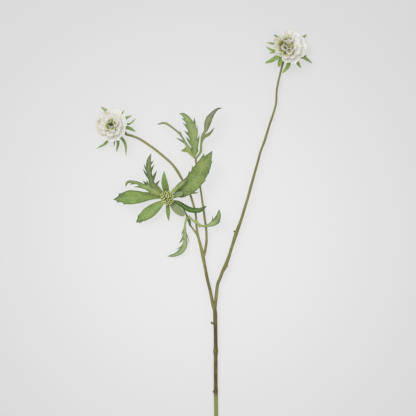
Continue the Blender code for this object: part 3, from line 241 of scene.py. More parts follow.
# Leaves. rib: (x, y, z) rows from foot to tip. roll: turn of the blade about its rib in degrees, foot
# and tip. widths: (share of the length, half width). lobes: (side, share of the length at the foot,
# length, half width, angle from the rib in degrees); side is +1 to the right of the rib. fold: lift of
# the margins per millimetre from the rib.
LEAVES = {
    "leaf_rosette_left": dict(
        rib=[(-50.6, 47.3, 15.3), (-55, 48, 15.5), (-62, 48.8, 17), (-78, 48, 18.5), (-94, 47.6, 17.4),
             (-107, 46, 14.6), (-116.2, 44.6, 12)],
        roll=(0, 4), fold=0.10,
        widths=[(0, 1.6), (0.08, 2.6), (0.18, 3.8), (0.28, 4.6), (0.46, 7.6), (0.58, 8.8), (0.67, 9.2),
                (0.77, 7.6), (0.86, 4.6), (0.93, 2.2), (1, 0.4)],
        lobes=[(1, 0.79, 3.0, 0.9, -8), (-1, 0.72, 2.8, 1.0, -4), (-1, 0.85, 3.2, 0.8, -10)],
    ),
    "leaf_rosette_low": dict(
        rib=[(-49.4, 43.6, 15.2), (-52, 41.2, 15), (-57, 37.6, 15.6), (-67, 30, 15), (-78, 22, 11.5),
             (-86.6, 15, 7)],
        roll=(0, -6), fold=0.12,
        widths=[(0, 1.5), (0.1, 3.4), (0.27, 5.9), (0.45, 7.4), (0.6, 7.4), (0.76, 5.6), (0.89, 3.0),
                (0.96, 1.4), (1, 0.3)],
        lobes=[(1, 0.74, 3.0, 0.9, -10), (-1, 0.82, 3.0, 0.8, -12)],
    ),
    "leaf_rosette_cut": dict(
        rib=[(-50.6, 51, 15.8), (-53.4, 53.2, 17.2), (-58, 56.6, 19.5), (-64, 62, 22.5), (-67.6, 73, 26),
             (-70, 86, 28), (-69.2, 96, 28), (-66.4, 104.5, 26)],
        roll=(0, 10), fold=0.14,
        widths=[(0, 1.5), (0.1, 3.6), (0.22, 5.0), (0.3, 3.9), (0.5, 3.3), (0.7, 3.3), (0.85, 2.6),
                (1, 0.35)],
        lobes=[(-1, 0.22, 13, 2.28, 26), (1, 0.24, 9, 1.68, 42), (1, 0.40, 12.5, 1.8, 32),
               (-1, 0.46, 12, 1.8, 20), (1, 0.58, 10.5, 1.56, 26), (-1, 0.60, 8.5, 1.44, 18),
               (1, 0.72, 7, 1.32, 24)],
    ),
    "leaf_rosette_curled": dict(
        rib=[(-54, 50, 18.8), (-57, 51.8, 20.2), (-62, 54.6, 23.2), (-72, 59.6, 26.4), (-82, 65, 28),
             (-91, 67.4, 27.4), (-97.5, 66.6, 24.6), (-99.6, 60.6, 22)],
        roll=(-8, -30), fold=0.1,
        widths=[(0, 1.2), (0.1, 2.8), (0.22, 3.9), (0.36, 3.4), (0.5, 2.5), (0.75, 1.9), (0.9, 1.5),
                (1, 0.3)],
        lobes=[(-1, 0.16, 15, 1.68, 20), (-1, 0.42, 12, 1.68, 18), (1, 0.30, 9.5, 1.92, 34),
               (-1, 0.66, 6, 1.2, 24)],
    ),
    "leaf_rosette_great": dict(
        rib=[(-40, 49.6, 15.4), (-36, 51.0, 15.8), (-29.3, 53.8, 17.8), (-19.5, 60.8, 20.6),
             (-11, 69.4, 23.4), (-2.6, 82.2, 26.6), (4.7, 94.9, 28), (8.8, 101.7, 27.8),
             (12.1, 107.5, 27)],
        roll=(0, -8), fold=0.12,
        widths=[(0, 1.6), (0.07, 3.4), (0.143, 7.2), (0.29, 10.2), (0.44, 11.0), (0.635, 10.4),
                (0.75, 9.0), (0.817, 7.2), (0.9, 3.8), (1, 0.4)],
        lobes=[(-1, 0.28, 5, 1.2, 16), (-1, 0.45, 6, 1.2, 16), (-1, 0.56, 5.4, 1.1, 24),
               (-1, 0.76, 8.4, 1.2, -9), (1, 0.26, 8.6, 1.4, 36), (1, 0.48, 4.4, 1.1, 18),
               (1, 0.62, 3.0, 1.0, 2), (1, 0.78, 5.0, 0.9, -17)],
    ),
    "leaf_rosette_fold": dict(
        rib=[(-40.8, 52.6, 18.6), (-38.6, 55.4, 20.2), (-33, 59.6, 22.8), (-27, 65, 25),
             (-20.5, 70.6, 27)],
        roll=(30, 40), fold=0.2,
        widths=[(0, 1.2), (0.25, 2.8), (0.6, 3.6), (0.85, 2.2), (1, 0.35)],
        lobes=[],
    ),
    "leaf_rosette_dark": dict(
        rib=[(-37.8, 42.8, 18.3), (-32.5, 41, 18.2), (-28.6, 38.6, 18), (-23.4, 34.8, 17.4),
             (-16.9, 31.6, 17), (-9.1, 30.4, 17.2), (-2.6, 31.4, 18), (4.8, 36.6, 20.4)],
        roll=(20, 26), fold=0.16,
        widths=[(0, 1.4), (0.12, 2.4), (0.3, 3.4), (0.5, 3.6), (0.7, 3.4), (0.85, 2.5), (0.94, 1.3),
                (1, 0.3)],
        lobes=[],
    ),
    "leaf_pair_side": dict(
        rib=[(-18.6, 23.8, 9.7), (-15, 19.5, 11.6), (-11.4, 16.4, 12.2), (-6.4, 13.5, 12.4),
             (-1, 10.4, 12.4), (6, 11.2, 13), (13, 13.4, 14.6), (18, 18, 16.6), (20.6, 25, 18.4),
             (20.8, 32.4, 18.8)],
        roll=(0, 30), fold=0.2,
        widths=[(0, 1.0), (0.1, 1.5), (0.3, 1.5), (0.45, 1.6), (0.55, 2.4), (0.68, 4.0), (0.8, 4.0),
                (0.92, 2.2), (1, 0.3)],
        lobes=[(-1, 0.16, 5, 1.4, 28), (1, 0.26, 4.4, 1.4, 28), (-1, 0.54, 12.5, 2.24, 26),
               (1, 0.64, 5, 1.96, 24)],
    ),
    "leaf_pair_down": dict(
        rib=[(-21.4, 20.8, 10), (-22.8, 15, 9.8), (-23.6, 3, 8), (-22.8, -7.8, 6.4), (-23.9, -15.6, 5.6),
             (-28.4, -22.1, 4.9), (-36, -27, 4.3), (-46.4, -29, 4)],
        roll=(0, -10), fold=0.14,
        widths=[(0, 1.1), (0.1, 1.4), (0.3, 1.9), (0.45, 2.5), (0.58, 3.3), (0.7, 3.4), (0.82, 2.4),
                (0.92, 1.5), (1, 0.3)],
        lobes=[(1, 0.21, 7, 1.5, 26), (1, 0.31, 13, 2.1, 28), (1, 0.47, 15, 2.25, 13),
               (-1, 0.25, 14, 1.65, 13)],
    ),
    "leaf_pair_scale": dict(
        rib=[(-19.2, 20.6, 8.2), (-17.4, 16, 10.8), (-16.4, 9.4, 11.8)],
        roll=(0, 0), fold=0.1,
        widths=[(0, 0.9), (0.4, 1.8), (0.8, 1.2), (1, 0.3)],
        lobes=[],
    ),
    "leaf_tuft_middle": dict(
        rib=[(-10, 100.2, 9.4), (-10.2, 103, 10.6), (-10.8, 110, 14), (-12, 121, 18), (-13.9, 134, 21),
             (-18.9, 146.5, 24.5), (-25.5, 154.2, 25), (-30.6, 155, 22.6)],
        roll=(0, -14), fold=0.14,
        widths=[(0, 1.1), (0.05, 2.0), (0.12, 4.6), (0.2, 4.2), (0.26, 3.4), (0.34, 4.4), (0.46, 6.0),
                (0.62, 5.4), (0.8, 3.8), (0.92, 1.9), (1, 0.35)],
        lobes=[(-1, 0.22, 13, 2.28, 28), (-1, 0.38, 12.5, 2.28, 26), (-1, 0.56, 11.5, 1.8, 12),
               (1, 0.18, 13, 2.64, 18), (1, 0.40, 12.5, 1.92, 14), (1, 0.58, 9, 1.68, 20),
               (-1, 0.72, 8.5, 1.32, 6)],
    ),
    "leaf_tuft_left": dict(
        rib=[(-11, 98.6, 8.2), (-13, 100.8, 8.4), (-16.5, 106.5, 9.8), (-19.8, 113, 12), (-24, 121, 14.6),
             (-29.5, 128.8, 16.4), (-37.7, 136.2, 17.8), (-46, 142, 18), (-52, 143.5, 17.2),
             (-59.2, 141.7, 14.6)],
        roll=(0, -26), fold=0.16,
        widths=[(0, 1.1), (0.05, 1.3), (0.12, 3.0), (0.2, 3.0), (0.32, 1.4), (0.5, 1.2), (0.7, 1.2),
                (0.84, 1.6), (0.94, 1.1), (1, 0.3)],
        lobes=[(-1, 0.30, 15, 1.49, 24), (-1, 0.14, 8.5, 2.7, 62), (1, 0.46, 6, 1.22, 20)],
    ),
    "leaf_tuft_right": dict(
        rib=[(-8.4, 98.6, 8.4), (-6.6, 101, 8.8), (-3, 106.6, 10.4), (-2, 117, 13.4), (-0.6, 127, 17.5),
             (4, 134.8, 20), (5.8, 142.5, 22), (9.4, 150.4, 23.8), (14, 157, 24.2), (19.2, 161.4, 23.8),
             (24.8, 162.6, 22)],
        roll=(10, 30), fold=0.16,
        widths=[(0, 1.1), (0.15, 1.5), (0.35, 1.6), (0.47, 1.8), (0.54, 3.0), (0.64, 4.6), (0.74, 4.0),
                (0.84, 2.4), (0.93, 1.3), (1, 0.3)],
        lobes=[(1, 0.29, 22, 3.2, 27), (-1, 0.55, 4, 1.0, 14), (-1, 0.66, 3.6, 1.0, 8)],
    ),
}

# Each leaf's colours: upper side, underside, how much its end darkens, how far up its pale foot reaches
LEAF_TONES = {
    "leaf_rosette_left": ((0.197, 0.297, 0.071), (0.291, 0.346, 0.16), 0.3, 0.24),
    "leaf_rosette_low": ((0.215, 0.32, 0.078), (0.272, 0.326, 0.151), 0.6, 0.16),
    "leaf_rosette_cut": ((0.168, 0.228, 0.072), (0.244, 0.27, 0.128), 0.3, 0.2),
    "leaf_rosette_curled": ((0.249, 0.342, 0.098), (0.273, 0.326, 0.153), 0.2, 0.24),
    "leaf_rosette_great": ((0.23, 0.316, 0.087), (0.294, 0.34, 0.16), 0.4, 0.08),
    "leaf_rosette_fold": ((0.267, 0.371, 0.11), (0.324, 0.4, 0.154), 0.3, 0.35),
    "leaf_rosette_dark": ((0.082, 0.166, 0.014), (0.184, 0.231, 0.08), 0.4, 0.02),
    "leaf_pair_side": ((0.3, 0.384, 0.138), (0.338, 0.384, 0.196), 0.3, 0.5),
    "leaf_pair_down": ((0.334, 0.422, 0.181), (0.37, 0.396, 0.228), 0.3, 0.24),
    "leaf_pair_scale": ((0.072, 0.156, 0.02), (0.192, 0.264, 0.1), 0.2, 0.02),
    "leaf_tuft_middle": ((0.267, 0.36, 0.124), (0.308, 0.356, 0.17), 0.3, 0.1),
    "leaf_tuft_left": ((0.357, 0.435, 0.174), (0.336, 0.363, 0.21), 0.3, 0.3),
    "leaf_tuft_right": ((0.212, 0.239, 0.115), (0.276, 0.313, 0.167), 0.3, 0.52),
}

# Green in each floret's throat, from 0 to 1, in the order of the table; above 1 the rim is browned as well
FLORET_TONES = {
    "left": (1.7, 1.4, 0.3, 0.1, 0.1, 0.1, 0.15, 0.1, 0.2, 1.2, 1.4,
             0.3, 0.45, 0.35, 0.2, 0.2, 0.3, 0.35, 0.3, 0.95, 1.0, 0.7, 0.6),
    "right": (0.4, 1.3, 0.3, 0.2, 0.1, 0.0, 0.0, 0.0, 0.1, 0.2, 0.3,
              0.8, 0.8, 0.2, 0.05, 0.1, 0.65, 0.75, 0.75, 1.7, 1.0, 0.8, 0.85, 0.6),
}
# Tips of the closed florets in each head's middle, and the painted shade in the gaps between them
EYE_TONES = {
    # The left eye's tips are dark green, partly of their own and partly painted shade of the head's deep
    # middle
    "left": ((0.10, 0.14, 0.025), (0.03, 0.05, 0.01)),
    "right": ((0.58, 0.57, 0.33), (0.30, 0.31, 0.09)),
}
# How far each of the bud's bracts is towards grey, in the order of BUD_BRACTS
BUD_BRACT_TINTS = (0.1, 0.0, 0.9, 1.0)
# Bracts: fresh and deep green, and how far the tint greys them
HEAD_BRACT_TONES = ((0.33, 0.45, 0.13), (0.16, 0.26, 0.045), 0.2)
BUD_BRACT_TONES = ((0.26, 0.37, 0.10), (0.17, 0.27, 0.05), 0.8)
# The bud's closed florets: tips, and the painted shade in the gaps between them
BUD_KNOB_TONES = ((0.82, 0.87, 0.38), (0.10, 0.14, 0.02))
# Petals: lip, shaded lip, throat, the throat's depth (its green darkened with painted shade), browned rim
PETAL_TONES = (
    (0.73, 0.722, 0.70), (0.60, 0.59, 0.44), (0.49, 0.49, 0.245), (0.16, 0.18, 0.03), (0.38, 0.29, 0.19),
)
# How strongly the petals glow in their own colour: painted light that lifts the shade between them
PETAL_GLOW = 0.14


def smoothed(points, spacing):
    """Points about every spacing along a Catmull-Rom curve through the rows, with any extra columns."""
    rows = np.array(points, float)
    padded = np.vstack([2 * rows[0] - rows[1], rows, 2 * rows[-1] - rows[-2]])
    found = []
    for a, b, c, d in zip(padded, padded[1:], padded[2:], padded[3:]):
        steps = max(1, round(float(np.linalg.norm((c - b)[:3])) / spacing))
        square = 2 * a - 5 * b + 4 * c - d
        cube = 3 * b - a - 3 * c + d
        for step in range(steps):
            t = step / steps
            found.append(0.5 * (2 * b + (c - a) * t + square * t**2 + cube * t**3))
    return np.array(found + [rows[-1]])


def ring_turns(sides):
    return [2 * math.pi * k / sides for k in range(sides)]


def spoke(side, up, turn):
    return side * math.cos(turn) + up * math.sin(turn)


def grid_shares(rows, columns):
    """Shares of the length, 0 to 1, and of the half width, -1 to 1, at each point of a grid."""
    return [(r / (rows - 1), 2 * c / (columns - 1) - 1) for r in range(rows) for c in range(columns)]


def blade_halves(places):
    """Half thickness of a petal at each point, thinner towards its lip."""
    return [PETAL_THICKNESS / 2 * (1.5 - 0.9 * p[0]) for p in places]


class Shape:
    """Parts of one object: points in millimetres, faces, and three numbers at each point, its place.

    The place tells the material where a point lies. Stems: reach, angle, radius. Petals: share of the
    length, share of the half width, tone. Bracts: rib, share of the length, tint. Closed florets: share
    of the length, lobe, tint. Leaves: rib or vein, share of the length, and the side, which is 0
    underneath, and above is 1 in the middle of the blade and falls to 0.6 at its margin.
    """

    def __init__(self):
        self.points = []
        self.faces = []
        self.places = []

    def add(self, points, faces, places):
        start = len(self.points)
        self.points += points
        self.places += places
        self.faces += [tuple(i + start for i in face) for face in faces]

    def build(self, name, material, node, sharp=50):
        mesh = bpy.data.meshes.new(name)
        mesh.from_pydata([tuple(MM * float(x) for x in p) for p in self.points], [], self.faces)
        place = mesh.attributes.new("place", "FLOAT_VECTOR", "POINT")
        place.data.foreach_set("vector", [float(x) for p in self.places for x in p])
        mesh.materials.append(material)
        mesh.shade_smooth()
        mesh.set_sharp_from_angle(angle=math.radians(sharp))
        made = bpy.data.objects.new(name, mesh)
        bpy.context.scene.collection.objects.link(made)
        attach(made, "root")
        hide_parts(node)


def tube_faces(rings, sides):
    """Faces of a tube through the rings, with a cap at each end."""
    faces = []
    for r in range(0, (rings - 1) * sides, sides):
        for k in range(sides):
            after = (k + 1) % sides
            faces.append((r + k, r + after, r + sides + after, r + sides + k))
    return faces + [tuple(reversed(range(sides))), tuple(range((rings - 1) * sides, rings * sides))]


def add_stalk(shape, route, sides):
    """A stalk along (x, y, z, radius) rows, shallowly grooved, and flattened where it meets the surface."""
    rows = smoothed(route, STEM_SPACING)
    points, places = [], []
    side = Vector((1, 0, 0))
    reach = 0.0
    for i, row in enumerate(rows):
        ahead = rows[min(i + 1, len(rows) - 1)]
        behind = rows[max(i - 1, 0)]
        along = Vector((ahead - behind)[:3]).normalized()
        side = (side - along * side.dot(along)).normalized()
        up = along.cross(side)
        reach += float(np.linalg.norm((row - behind)[:3]))
        for k in range(sides):
            turn = 2 * math.pi * (k + 0.5) / sides + math.pi / 2
            out = spoke(side, up, turn)
            rough = noise.noise(Vector(row[:3]) * 0.22 + out * 0.8)
            swell = 1 + 0.035 * math.cos(STEM_GROOVES * turn) + 0.05 * rough
            p = Vector(row[:3]) + out * (row[3] * swell)
            p.z = max(p.z, 0)
            points.append(p)
            places.append((reach, turn, row[3]))
    shape.add(points, tube_faces(len(rows), sides), places)


def add_stub(shape, foot, direction, length, radius):
    """A short peg where a leaf has dropped off, with a rim round its scar."""
    along = Vector(direction).normalized()
    side = along.orthogonal().normalized()
    up = along.cross(side)
    points, places = [], []
    for share, wide in STUB_RINGS:
        for turn in ring_turns(STUB_SIDES):
            out = spoke(side, up, turn) * (radius * wide)
            points.append(Vector(foot) + along * (length * share) + out)
            places.append((share * length, turn, radius))
    shape.add(points, tube_faces(len(STUB_RINGS), STUB_SIDES), places)


def add_turned(shape, profile, local, sides, ribs, depth, place=(0, 0, 0)):
    """A solid of revolution with shallow ribs, from (radius, height) rows, lowest first."""
    rows = smoothed(profile, 0.7)
    points, places = [], []
    for radius, height in rows:
        for turn in ring_turns(sides):
            r = radius * (1 + depth * math.cos(ribs * turn))
            points.append(local @ Vector((r * math.cos(turn), r * math.sin(turn), height)))
            places.append(place)
    shape.add(points, tube_faces(len(rows), sides), places)


def add_blade(shape, sheet, normals, faces, above, below, places_above, places_below, floor=None):
    """A thin closed blade round a sheet, with its own height above and below the sheet at each point."""
    count = len(sheet)
    points = [p + n * a for p, n, a in zip(sheet, normals, above)]
    points += [p - n * b for p, n, b in zip(sheet, normals, below)]
    if floor is not None:
        for p in points:
            p.z = max(p.z, floor)
    solid = [tuple(f) for f in faces] + [tuple(i + count for i in reversed(f)) for f in faces]
    edges = {(f[i], f[(i + 1) % len(f)]) for f in faces for i in range(len(f))}
    solid += [(b, a, a + count, b + count) for a, b in edges if (b, a) not in edges]
    shape.add(points, solid, places_above + places_below)


def grid_faces(rows, columns):
    return [
        (r * columns + c, r * columns + c + 1, (r + 1) * columns + c + 1, (r + 1) * columns + c)
        for r in range(rows - 1)
        for c in range(columns - 1)
    ]


def grid_normals(points, rows, columns):
    found = []
    for r in range(rows):
        for c in range(columns):
            ahead = points[min(r + 1, rows - 1) * columns + c] - points[max(r - 1, 0) * columns + c]
            across = points[r * columns + min(c + 1, columns - 1)] - points[r * columns + max(c - 1, 0)]
            found.append(across.cross(ahead).normalized())
    return found


def seen_at(local, x, y, height):
    """Point in a head's own frame, at a height along its axis, that lies at x, y when seen from above."""
    turn = local.to_3x3()
    root = local.translation
    right = x - root.x - turn[0][2] * height
    ahead = y - root.y - turn[1][2] * height
    scale = turn[0][0] * turn[1][1] - turn[0][1] * turn[1][0]
    across = (turn[1][1] * right - turn[0][1] * ahead) / scale
    return Vector((across, (turn[0][0] * ahead - turn[1][0] * right) / scale, height))


def floret_axes(local, spec, roll):
    """Root, length and the three directions of a floret, from its row in the table."""
    tip = seen_at(local, *spec[:3])
    radius, height = FLORET_ROOTS[spec[6]]
    root = Vector((tip.x, tip.y, 0)).normalized() * radius + Vector((0, 0, height))
    along = (tip - root).normalized()
    inward = (Vector((0, 0, 1)) - along * along.z).normalized()
    side = Matrix.Rotation(roll, 3, along) @ along.cross(inward)
    return root, (tip - root).length, along, side, side.cross(along)


def floret_form(u, v, length, spec, phase):
    """How far along, across and inwards a point of a floret lies: a cupped petal on a narrow foot."""
    half_width, cup, curl = spec[3:6]
    opened = math.sin(math.pi * 0.5 * min(1, 1.3 * u)) ** 1.2
    wide = half_width * (0.28 + 0.72 * opened) * (1 - 0.1 * u**4)
    reach = length * u * (1 - 0.24 * u * v * v + 0.025 * u * math.cos(3 * math.pi * v))
    cupping = cup * v * v * (1 - 0.35 * u) + curl * (u * u - u)
    return reach, wide * v, cupping + 0.4 * u * u * math.sin(2.5 * math.pi * v + phase)


def add_floret(shape, local, spec, tone, draw, ruffle):
    """One ray floret on the solid's form, with a rolled foot and a finely waved lip."""
    rows, columns = PETAL_STEPS[0] + 1, PETAL_STEPS[1] + 1
    axes = floret_axes(local, spec, math.radians(draw.uniform(4, 12)))
    root, length, along, side, inward = axes
    phase = draw.uniform(0, math.tau)
    second = ruffle.uniform(0, math.tau)
    third = ruffle.uniform(0, math.tau)
    ragged = ruffle.uniform(0.5, 1.2)
    funnel = spec[6] < 2 and tone > 0.55
    shown = 0.77 if funnel and spec[6] == 1 else 1
    sheet, places = [], []
    for u, v in grid_shares(rows, columns):
        reach, across, lift = floret_form(u, v, length, spec, phase)
        reach += 0.35 * ragged * u**3 * (math.sin(7 * v + second) + 0.5 * math.sin(15 * v + third))
        lift += 1.2 * v * v * (1 - u) ** 3 + 0.2 * u**4 * math.sin(4 * math.pi * v + second)
        lift += 0.08 * u * math.sin(11 * v + third)
        sheet.append(local @ (root + along * reach + side * across + inward * lift))
        places.append((u * shown, v, tone))
    normals = grid_normals(sheet, rows, columns)
    half = blade_halves(places)
    add_blade(shape, sheet, normals, grid_faces(rows, columns), half, half, places, places, floor=0.0)
    if funnel:
        add_inner_lip(shape, local, axes, spec[3], tone, ruffle)


def add_inner_lip(shape, local, axes, half_width, tone, ruffle):
    """The small lip on the axis side of a floret, which closes the petal into a funnel."""
    rows, columns = LIP_STEPS[0] + 1, LIP_STEPS[1] + 1
    root, length, along, side, inward = axes
    tilt = math.radians(ruffle.uniform(30, 40))
    outward = along * math.sin(tilt) - inward * math.cos(tilt)
    along = along * math.cos(tilt) + inward * math.sin(tilt)
    reach_most = length * ruffle.uniform(0.56, 0.62)
    wide_most = half_width * ruffle.uniform(0.72, 0.8)
    phase = ruffle.uniform(0, math.tau)
    sheet, places = [], []
    for u, v in grid_shares(rows, columns):
        wide = wide_most * (0.35 + 0.65 * math.sin(math.pi * 0.5 * min(1, 1.2 * u)))
        reach = reach_most * u * (1 - 0.12 * v * v + 0.04 * u * math.cos(2 * math.pi * v + phase))
        lift = 0.4 * wide * v * v + 0.08 * u * u * math.sin(6 * v + phase) - 1.2 * u * u
        sheet.append(local @ (root + along * reach + side * (wide * v) + outward * lift))
        places.append((0.25 + 0.75 * u, v, min(tone, 1) * 0.25))
    normals = [-n for n in grid_normals(sheet, rows, columns)]
    half = blade_halves(places)
    faces = [tuple(reversed(f)) for f in grid_faces(rows, columns)]
    add_blade(shape, sheet, normals, faces, half, half, places, places, floor=0.0)


def bract_width(u, blunt):
    """Share of the bract's half width at a share of its length."""
    foot = 0.58 + 0.42 * min(1, u / 0.45)
    return foot * max(0.08, (1 - u ** (2.5 + 2.5 * blunt)) ** (1 - 0.45 * blunt))


def bract_route(local, tip, bow, foot=(4.2, 2.0), rim=(8.5, 2.7)):
    """Middle line of a bract: out of the cup under the florets' edge, then bowed sideways to its tip."""
    root = Vector(local.translation)
    out = (local.to_3x3().inverted() @ (Vector(tip) - root)) * Vector((1, 1, 0))
    out.normalize()
    first, second = (local @ (out * reach + Vector((0, 0, height))) for reach, height in (foot, rim))
    span = Vector(tip) - second
    left = Vector((-span.y, span.x, 0)).normalized()
    middle = second + span * 0.5 + left * bow + Vector((0, 0, 0.05 * span.length))
    return [tuple(first), tuple(second), tuple(middle), tuple(tip)]


def bract_sheet(route, half_width, blunt, up, fold, rows, columns):
    """Grid of points for a bract, folded a little along its rib."""
    line = smoothed(route, 0.5)
    reach = np.concatenate([[0], np.cumsum(np.linalg.norm(np.diff(line, axis=0), axis=1))])
    sheet = []
    for r in range(rows):
        u = r / (rows - 1)
        at, back, ahead = (
            Vector([np.interp(reach[-1] * share, reach, line[:, k]) for k in range(3)])
            for share in (u, max(0, u - 0.03), min(1, u + 0.03))
        )
        along = (ahead - back).normalized()
        side = along.cross(up).normalized()
        over = side.cross(along)
        wide = half_width * bract_width(u, blunt)
        for c in range(columns):
            v = 2 * c / (columns - 1) - 1
            sheet.append(at + side * (wide * v) + over * (fold * wide * abs(v)))
    return sheet


def add_bract(shape, local, spec, tint, fold=0.22, **ends):
    """A smooth bract on the solid's route, with a raised rib underneath and a faintly rippled edge."""
    rows, columns = BRACT_STEPS[0] + 1, BRACT_STEPS[1] + 1
    x, y, z, half_width, bow, blunt = spec
    up = local.to_3x3() @ Vector((0, 0, 1))
    route = bract_route(local, (x, y, z), bow, **ends)
    sheet = bract_sheet(route, half_width, blunt, up, fold, rows, columns)
    normals = grid_normals(sheet, rows, columns)
    marks, above, below = [], [], []
    for i, (u, v) in enumerate(grid_shares(rows, columns)):
        wide = half_width * bract_width(u, blunt)
        ripple = 0.1 * wide * math.sin(9 * u + 2 * v + 6 * tint) * abs(v)
        rib = math.exp(-((v * wide / 0.4) ** 2))
        sheet[i] = sheet[i] + normals[i] * (ripple - fold * wide * 0.12 * rib)
        marks.append((rib, u, tint))
        above.append(BRACT_THICKNESS / 2 * (1 - 0.3 * abs(v)))
        below.append(BRACT_THICKNESS / 2 * (1 - 0.3 * abs(v)) + 0.3 * rib * (1 - u))
    add_blade(shape, sheet, normals, grid_faces(rows, columns), above, below, marks, marks, floor=0.0)


def head_frame(foot, lean, toward):
    """Local frame of a head: its origin at the receptacle's foot and +Z along the head's axis."""
    turn = math.radians(toward)
    axis = Matrix.Rotation(math.radians(lean), 4, (-math.sin(turn), math.cos(turn), 0))
    return Matrix.Translation(foot) @ axis


def add_knob(shape, local, at, direction, length, radius, tint):
    """A closed floret bud: a peg that swells and ends in four pinched lobes."""
    side = direction.orthogonal().normalized()
    up = direction.cross(side)
    points, places = [], []
    for share, wide in KNOB_RINGS:
        reach = share * length if share > 0 else share
        for turn in ring_turns(KNOB_SIDES):
            lobe = 1 + 0.16 * max(0, share) * math.cos(4 * turn + 6 * tint)
            out = spoke(side, up, turn) * (radius * wide * lobe)
            points.append(local @ (at + direction * reach + out))
            places.append((max(0.0, share), math.cos(4 * turn), tint))
    shape.add(points, tube_faces(len(KNOB_RINGS), KNOB_SIDES), places)


def dome_spots(count, start, stop):
    """Directions spread evenly over a cap of the upper half sphere, by the golden angle."""
    golden = math.pi * (3 - math.sqrt(5))
    found = []
    for i in range(count):
        height = 1 - (start + (stop - start) * (i + 0.5) / count)
        ring = math.sqrt(1 - height * height)
        found.append(Vector((ring * math.cos(golden * i), ring * math.sin(golden * i), height)))
    return found


def leaf_outline(spec, length):
    """The leaf's margin as (along, across) points, anticlockwise, with its lobes and teeth set into it."""
    shares, halves = zip(*spec["widths"])

    def half(at):
        return float(np.interp(at / length, shares, halves))

    margins = {}
    for side in (1, -1):
        lobes = sorted((share * length, *form) for s, share, *form in spec["lobes"] if s == side)
        margin, done = [], 0.0
        stations = [s * length for s in shares[:-1]]
        for foot, reach, wide, angle in lobes + [(2 * length, 0, 0, 0)]:
            margin += [(s, side * half(s)) for s in stations if done <= s < foot - 0.6]
            if foot > length:
                break
            turn = math.radians(angle)
            base = wide * 3.2 / max(0.5, math.sin(turn + 0.5))
            back = min(foot + base, length * 0.97)
            y0, y1 = side * half(foot), side * half(back)
            tip = (foot + reach * math.cos(turn) + base * 0.4, y0 + side * reach * math.sin(turn))
            low = (foot + (tip[0] - foot) * 0.55, y0 + (tip[1] - y0) * 0.62)
            high = (back + (tip[0] - back) * 0.5, y1 + (tip[1] - y1) * 0.5 - side * 0.1)
            lobe = [(foot, y0), low, tip, high, (back, y1)]
            margin += lobe if reach > LONG_LOBE else lobe[::2]
            done = back + 0.6
        margins[side] = margin
    return margins[-1] + [(length, 0.0)] + margins[1][::-1]


def thinned_outline(outline):
    """The outline without points that lie closer than the least step to the one before."""
    kept = [outline[0]]
    for p in outline[1:]:
        if math.dist(p, kept[-1]) > LEAST_STEP:
            kept.append(p)
    return kept


def refined_outline(outline, spacing):
    """The outline rounded between its sharp corners and cut into even steps."""
    count = len(outline)
    corners = []
    for i, p in enumerate(outline):
        before, after = outline[i - 1], outline[(i + 1) % count]
        inward = Vector((p[0] - before[0], p[1] - before[1]))
        outward = Vector((after[0] - p[0], after[1] - p[1]))
        if inward.angle(outward, 0) > CORNER:
            corners.append(i)
    found = []
    for start, stop in zip(corners, corners[1:] + [corners[0] + count]):
        run = [outline[i % count] for i in range(start, stop + 1)]
        found += [tuple(p) for p in smoothed(run, spacing)[:-1]]
    return found


def inside(outline, spots, margin):
    """The spots that lie inside the outline, at least the margin from it."""
    a = np.array(outline)
    b = np.roll(a, -1, axis=0)
    p = np.array(spots)[:, None, :]
    crossing = (a[:, 1] > p[..., 1]) != (b[:, 1] > p[..., 1])
    rise = np.where(b[:, 1] == a[:, 1], 1e-9, b[:, 1] - a[:, 1])
    at = a[:, 0] + (p[..., 1] - a[:, 1]) * (b[:, 0] - a[:, 0]) / rise
    within = (crossing & (p[..., 0] < at)).sum(axis=1) % 2 == 1
    edge = b - a
    share = np.clip(((p - a) * edge).sum(axis=2) / np.maximum((edge**2).sum(axis=1), 1e-9), 0, 1)
    apart = np.linalg.norm(p - (a + share[..., None] * edge), axis=2).min(axis=1)
    return [tuple(s) for s, ok in zip(spots, within & (apart > margin)) if ok]


def vein_lines(spec, length):
    """Side veins as pairs of flat points: one to each lobe's tip, and more where the blade is wide."""
    shares, halves = zip(*spec["widths"])
    lines = []
    for side, share, reach, wide, angle in spec["lobes"]:
        foot = share * length
        turn = math.radians(angle)
        across = float(np.interp(share, shares, halves))
        tip = (foot + reach * math.cos(turn) + wide * 0.8, side * (across + reach * math.sin(turn)))
        lines.append(((max(1.0, foot - across * 0.9), 0.0), tip))
    for at in np.arange(6.0, length * 0.9, VEIN_SPACING):
        across = float(np.interp(at / length, shares, halves))
        if across > 2.6:
            for side in (1, -1):
                shift = 1.6 if side > 0 else 0.0
                lines.append(((at + shift, 0.0), (at + shift + across * 1.15, side * across * 0.93)))
    return lines


def distance_to_lines(point, lines):
    """Distance to the nearest line, counted a little longer towards the line's end."""
    if not lines:
        return 9.0
    p = np.array(point)
    a = np.array([line[0] for line in lines])
    b = np.array([line[1] for line in lines])
    edge = b - a
    share = np.clip(((p - a) * edge).sum(axis=1) / (edge**2).sum(axis=1), 0, 1)
    apart = np.linalg.norm(p - (a + share[:, None] * edge), axis=1) + 0.5 * share
    return float(apart.min())


